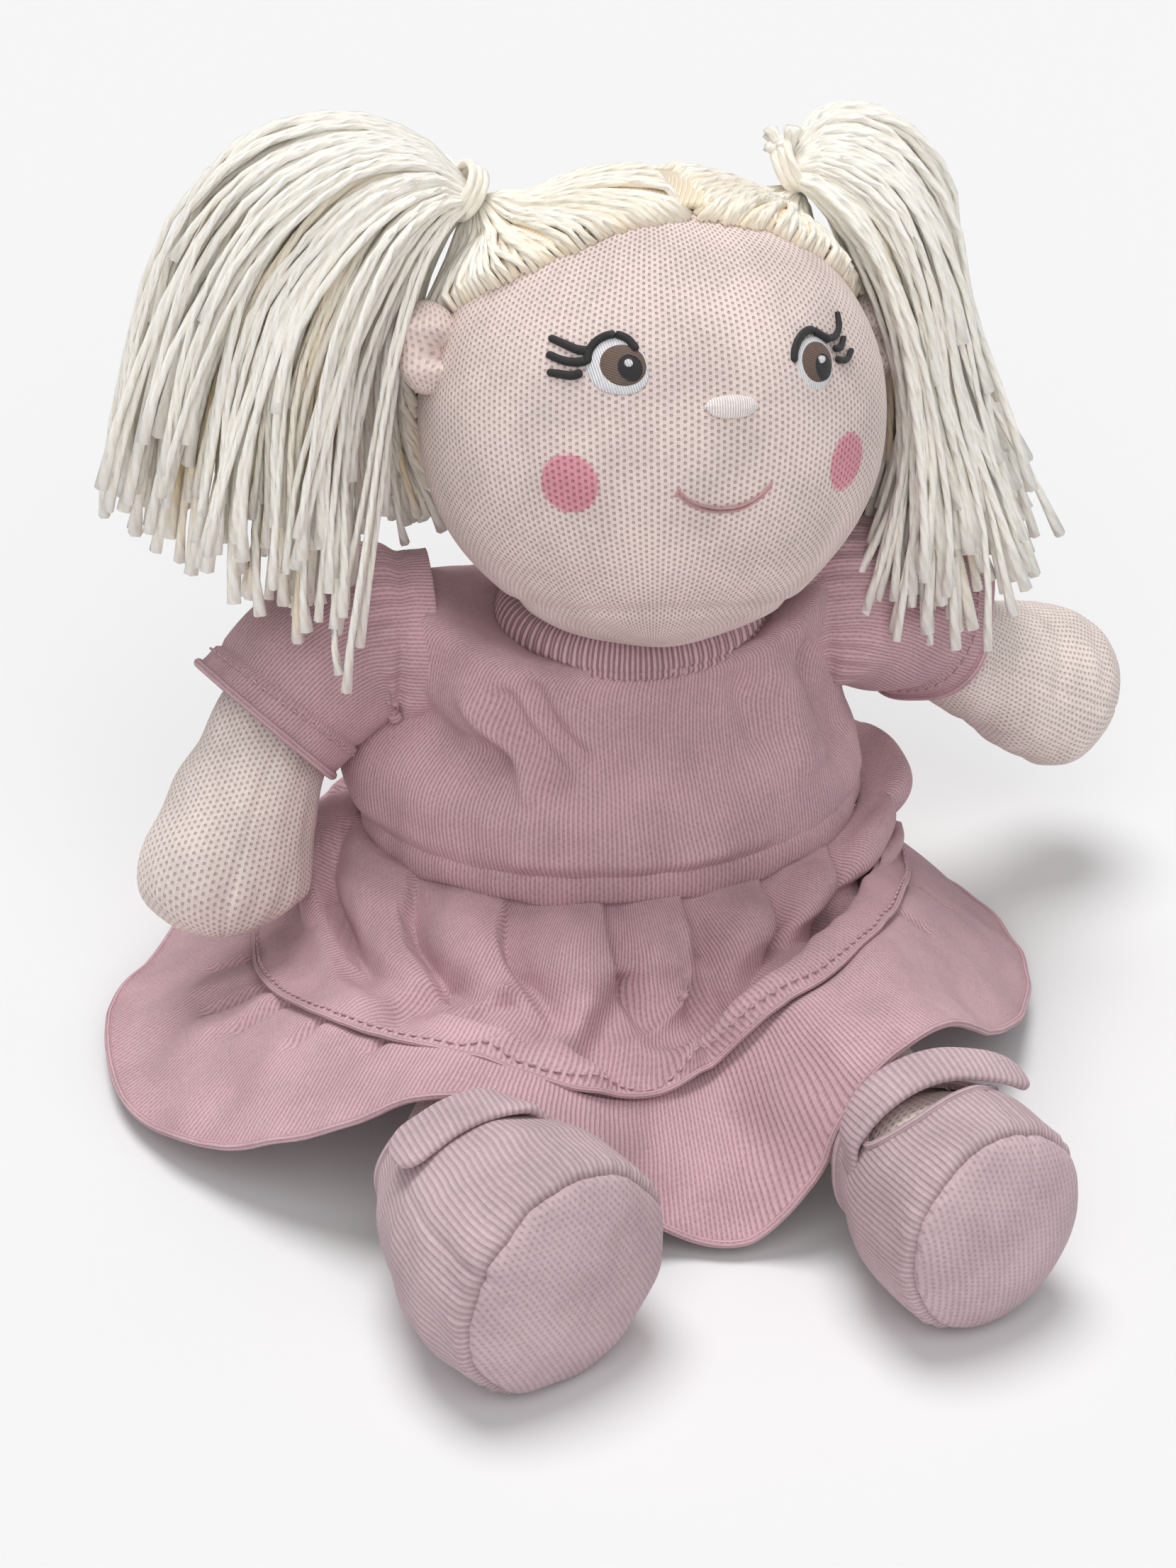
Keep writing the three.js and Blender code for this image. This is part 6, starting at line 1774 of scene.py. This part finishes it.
def make_movement():
    """The finishes of the movement, its key and the dress's button"""
    for kind, (colour, roughness, *names) in FINISHES.items():
        material = metal_material(kind, colour, roughness) if roughness else plastic_material(kind, colour)
        for name in names:
            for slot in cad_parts[name].material_slots:
                slot.material = material


# Stage

# The camera: how it looks round and down at a point and from how far, how far that point lies beside and
# above the middle of the picture, and the lens
VIEW_TURN = math.radians(-10)
VIEW_DROP = math.radians(31)
VIEW_DISTANCE = 900.0
VIEW_POINT = np.array([12.0, 6.0, 155.0])
VIEW_ASIDE = 15.75
VIEW_ABOVE = 93.1
VIEW_LENS = 82.29

# Each lamp's strength, how many degrees wide it looks, and how it is turned from pointing straight down
LAMPS = {"top softbox": (1.95, 30.0, (-10, -4, 0)), "front softbox": (1.2, 55.0, (46, -8, 0))}

# The sky's strength as it lights the doll and as the camera sees it, and the floor's half width, gap
# under the doll and colour
SKY = 0.27
BACKDROP = 0.93
FLOOR_HALF = 6000
FLOOR_DROP = 0.3
FLOOR_COLOUR = (0.81, 0.81, 0.814, 1.0)


def make_stage(context):
    """A pale floor, an even white sky, two broad lamps from above and the front, and the camera"""
    scene = context.scene
    ends = np.linspace(-FLOOR_HALF, FLOOR_HALF, 3)
    grid = np.stack(np.meshgrid(ends, ends, indexing="ij"), axis=-1)
    floor_z = min(float(CAD_BOX[0][2]) / MM, 0.0) - FLOOR_DROP
    grid = np.concatenate([grid, np.full((3, 3, 1), floor_z)], axis=-1)
    material, _, shader = new_material("pale floor", roughness=0.95, specular=0.0)
    shader.inputs["Base Color"].default_value = FLOOR_COLOUR
    floor = grid_object("floor", grid, grid[..., :2] * MM, material, ring=False, facing=(0, 0, 1))
    world = bpy.data.worlds.new("studio")
    world.use_nodes = True
    tree = world.node_tree
    sky = tree.nodes["Background"].inputs
    sky["Color"].default_value = (1.0, 1.0, 1.0, 1.0)
    rays = node(tree, "ShaderNodeLightPath").outputs
    seen = maths(tree, "MAXIMUM", rays["Is Camera Ray"], rays["Is Glossy Ray"])
    tree.links.new(between(tree, seen, 0.0, 1.0, SKY, BACKDROP), sky["Strength"])
    scene.world = world
    for name, (energy, width, turned) in LAMPS.items():
        lamp = bpy.data.lights.new(name, "SUN")
        lamp.energy = energy
        lamp.angle = math.radians(width)
        lamp_object = bpy.data.objects.new(name, lamp)
        lamp_object.rotation_euler = tuple(math.radians(angle) for angle in turned)
        scene.collection.objects.link(lamp_object)
    right = np.array([math.cos(VIEW_TURN), math.sin(VIEW_TURN), 0])
    back = np.array([math.sin(VIEW_TURN) * math.cos(VIEW_DROP), -math.cos(VIEW_TURN) * math.cos(VIEW_DROP),
                     math.sin(VIEW_DROP)])
    up = np.cross(back, right)
    place = VIEW_POINT - right * VIEW_ASIDE - up * VIEW_ABOVE + back * VIEW_DISTANCE
    camera_data = bpy.data.cameras.new("camera")
    camera_data.lens = VIEW_LENS
    camera_data.sensor_width = 36.0
    camera_data.clip_end = 50.0
    camera = bpy.data.objects.new("camera", camera_data)
    ways = np.stack([right, up, back, place * MM], axis=1)
    camera.matrix_world = Matrix([*ways.tolist(), [0.0, 0.0, 0.0, 1.0]])
    scene.collection.objects.link(camera)
    scene.camera = camera
    scene.view_settings.view_transform = "Standard"


# Operators, panel and running order

class DOLL_OT_stage(bpy.types.Operator):
    """Floor, light and camera"""
    bl_idname = "doll.stage"
    bl_label = "Stage"

    def execute(self, context):
        make_stage(context)
        return {"FINISHED"}


class DOLL_OT_head(bpy.types.Operator):
    """Knitted head, ears and neck"""
    bl_idname = "doll.head"
    bl_label = "Head"

    def execute(self, context):
        make_head()
        make_ears()
        make_neck()
        return {"FINISHED"}


class DOLL_OT_face(bpy.types.Operator):
    """Embroidered eyes, nose and mouth"""
    bl_idname = "doll.face"
    bl_label = "Face"

    def execute(self, context):
        make_face()
        return {"FINISHED"}


class DOLL_OT_hair(bpy.types.Operator):
    """Yarn cap, pigtails and ties"""
    bl_idname = "doll.hair"
    bl_label = "Hair"

    def execute(self, context):
        make_cap()
        make_pigtails()
        make_ties()
        return {"FINISHED"}


class DOLL_OT_limbs(bpy.types.Operator):
    """Trunk, arms and legs"""
    bl_idname = "doll.limbs"
    bl_label = "Trunk and limbs"

    def execute(self, context):
        make_trunk()
        make_limbs()
        return {"FINISHED"}


class DOLL_OT_shoes(bpy.types.Operator):
    """Knitted shoes with straps"""
    bl_idname = "doll.shoes"
    bl_label = "Shoes"

    def execute(self, context):
        make_shoes()
        return {"FINISHED"}


class DOLL_OT_bodice(bpy.types.Operator):
    """Bodice, collar, waist and sleeves"""
    bl_idname = "doll.bodice"
    bl_label = "Bodice"

    def execute(self, context):
        make_bodice()
        make_collar()
        make_waist()
        make_sleeves()
        return {"FINISHED"}


class DOLL_OT_skirt(bpy.types.Operator):
    """Pleated tier and flounce"""
    bl_idname = "doll.skirt"
    bl_label = "Skirt"

    def execute(self, context):
        make_upper_tier()
        make_flounce()
        return {"FINISHED"}


class DOLL_OT_movement(bpy.types.Operator):
    """Finishes of the movement, key and button"""
    bl_idname = "doll.movement"
    bl_label = "Movement"

    def execute(self, context):
        make_movement()
        return {"FINISHED"}


OPERATORS = [DOLL_OT_stage, DOLL_OT_head, DOLL_OT_face, DOLL_OT_hair, DOLL_OT_limbs, DOLL_OT_shoes,
             DOLL_OT_bodice, DOLL_OT_skirt, DOLL_OT_movement]


class DOLL_PT_panel(bpy.types.Panel):
    """Makes the doll's pieces and lists its sizes and colours"""
    bl_idname = "DOLL_PT_panel"
    bl_label = "Knitted musical doll"
    bl_space_type = "VIEW_3D"
    bl_region_type = "UI"
    bl_category = "Doll"

    def draw(self, context):
        for made in OPERATORS:
            self.layout.operator(made.bl_idname)
        for settings in (context.scene.doll_sizes, context.scene.doll_colours):
            for name in settings.bl_rna.properties.keys():
                if name not in ("rna_type", "name"):
                    self.layout.prop(settings, name)


CLASSES = [DollSizes, DollColours, *OPERATORS, DOLL_PT_panel]


def register():
    for made in CLASSES:
        bpy.utils.register_class(made)
    bpy.types.Scene.doll_sizes = bpy.props.PointerProperty(type=DollSizes)
    bpy.types.Scene.doll_colours = bpy.props.PointerProperty(type=DollColours)


def unregister():
    del bpy.types.Scene.doll_colours
    del bpy.types.Scene.doll_sizes
    for made in reversed(CLASSES):
        bpy.utils.unregister_class(made)


def main():
    register()
    bpy.ops.doll.stage()
    bpy.ops.doll.head()
    bpy.ops.doll.face()
    bpy.ops.doll.hair()
    bpy.ops.doll.limbs()
    bpy.ops.doll.shoes()
    bpy.ops.doll.bodice()
    bpy.ops.doll.skirt()
    bpy.ops.doll.movement()


if __name__ == "__main__":
    main()
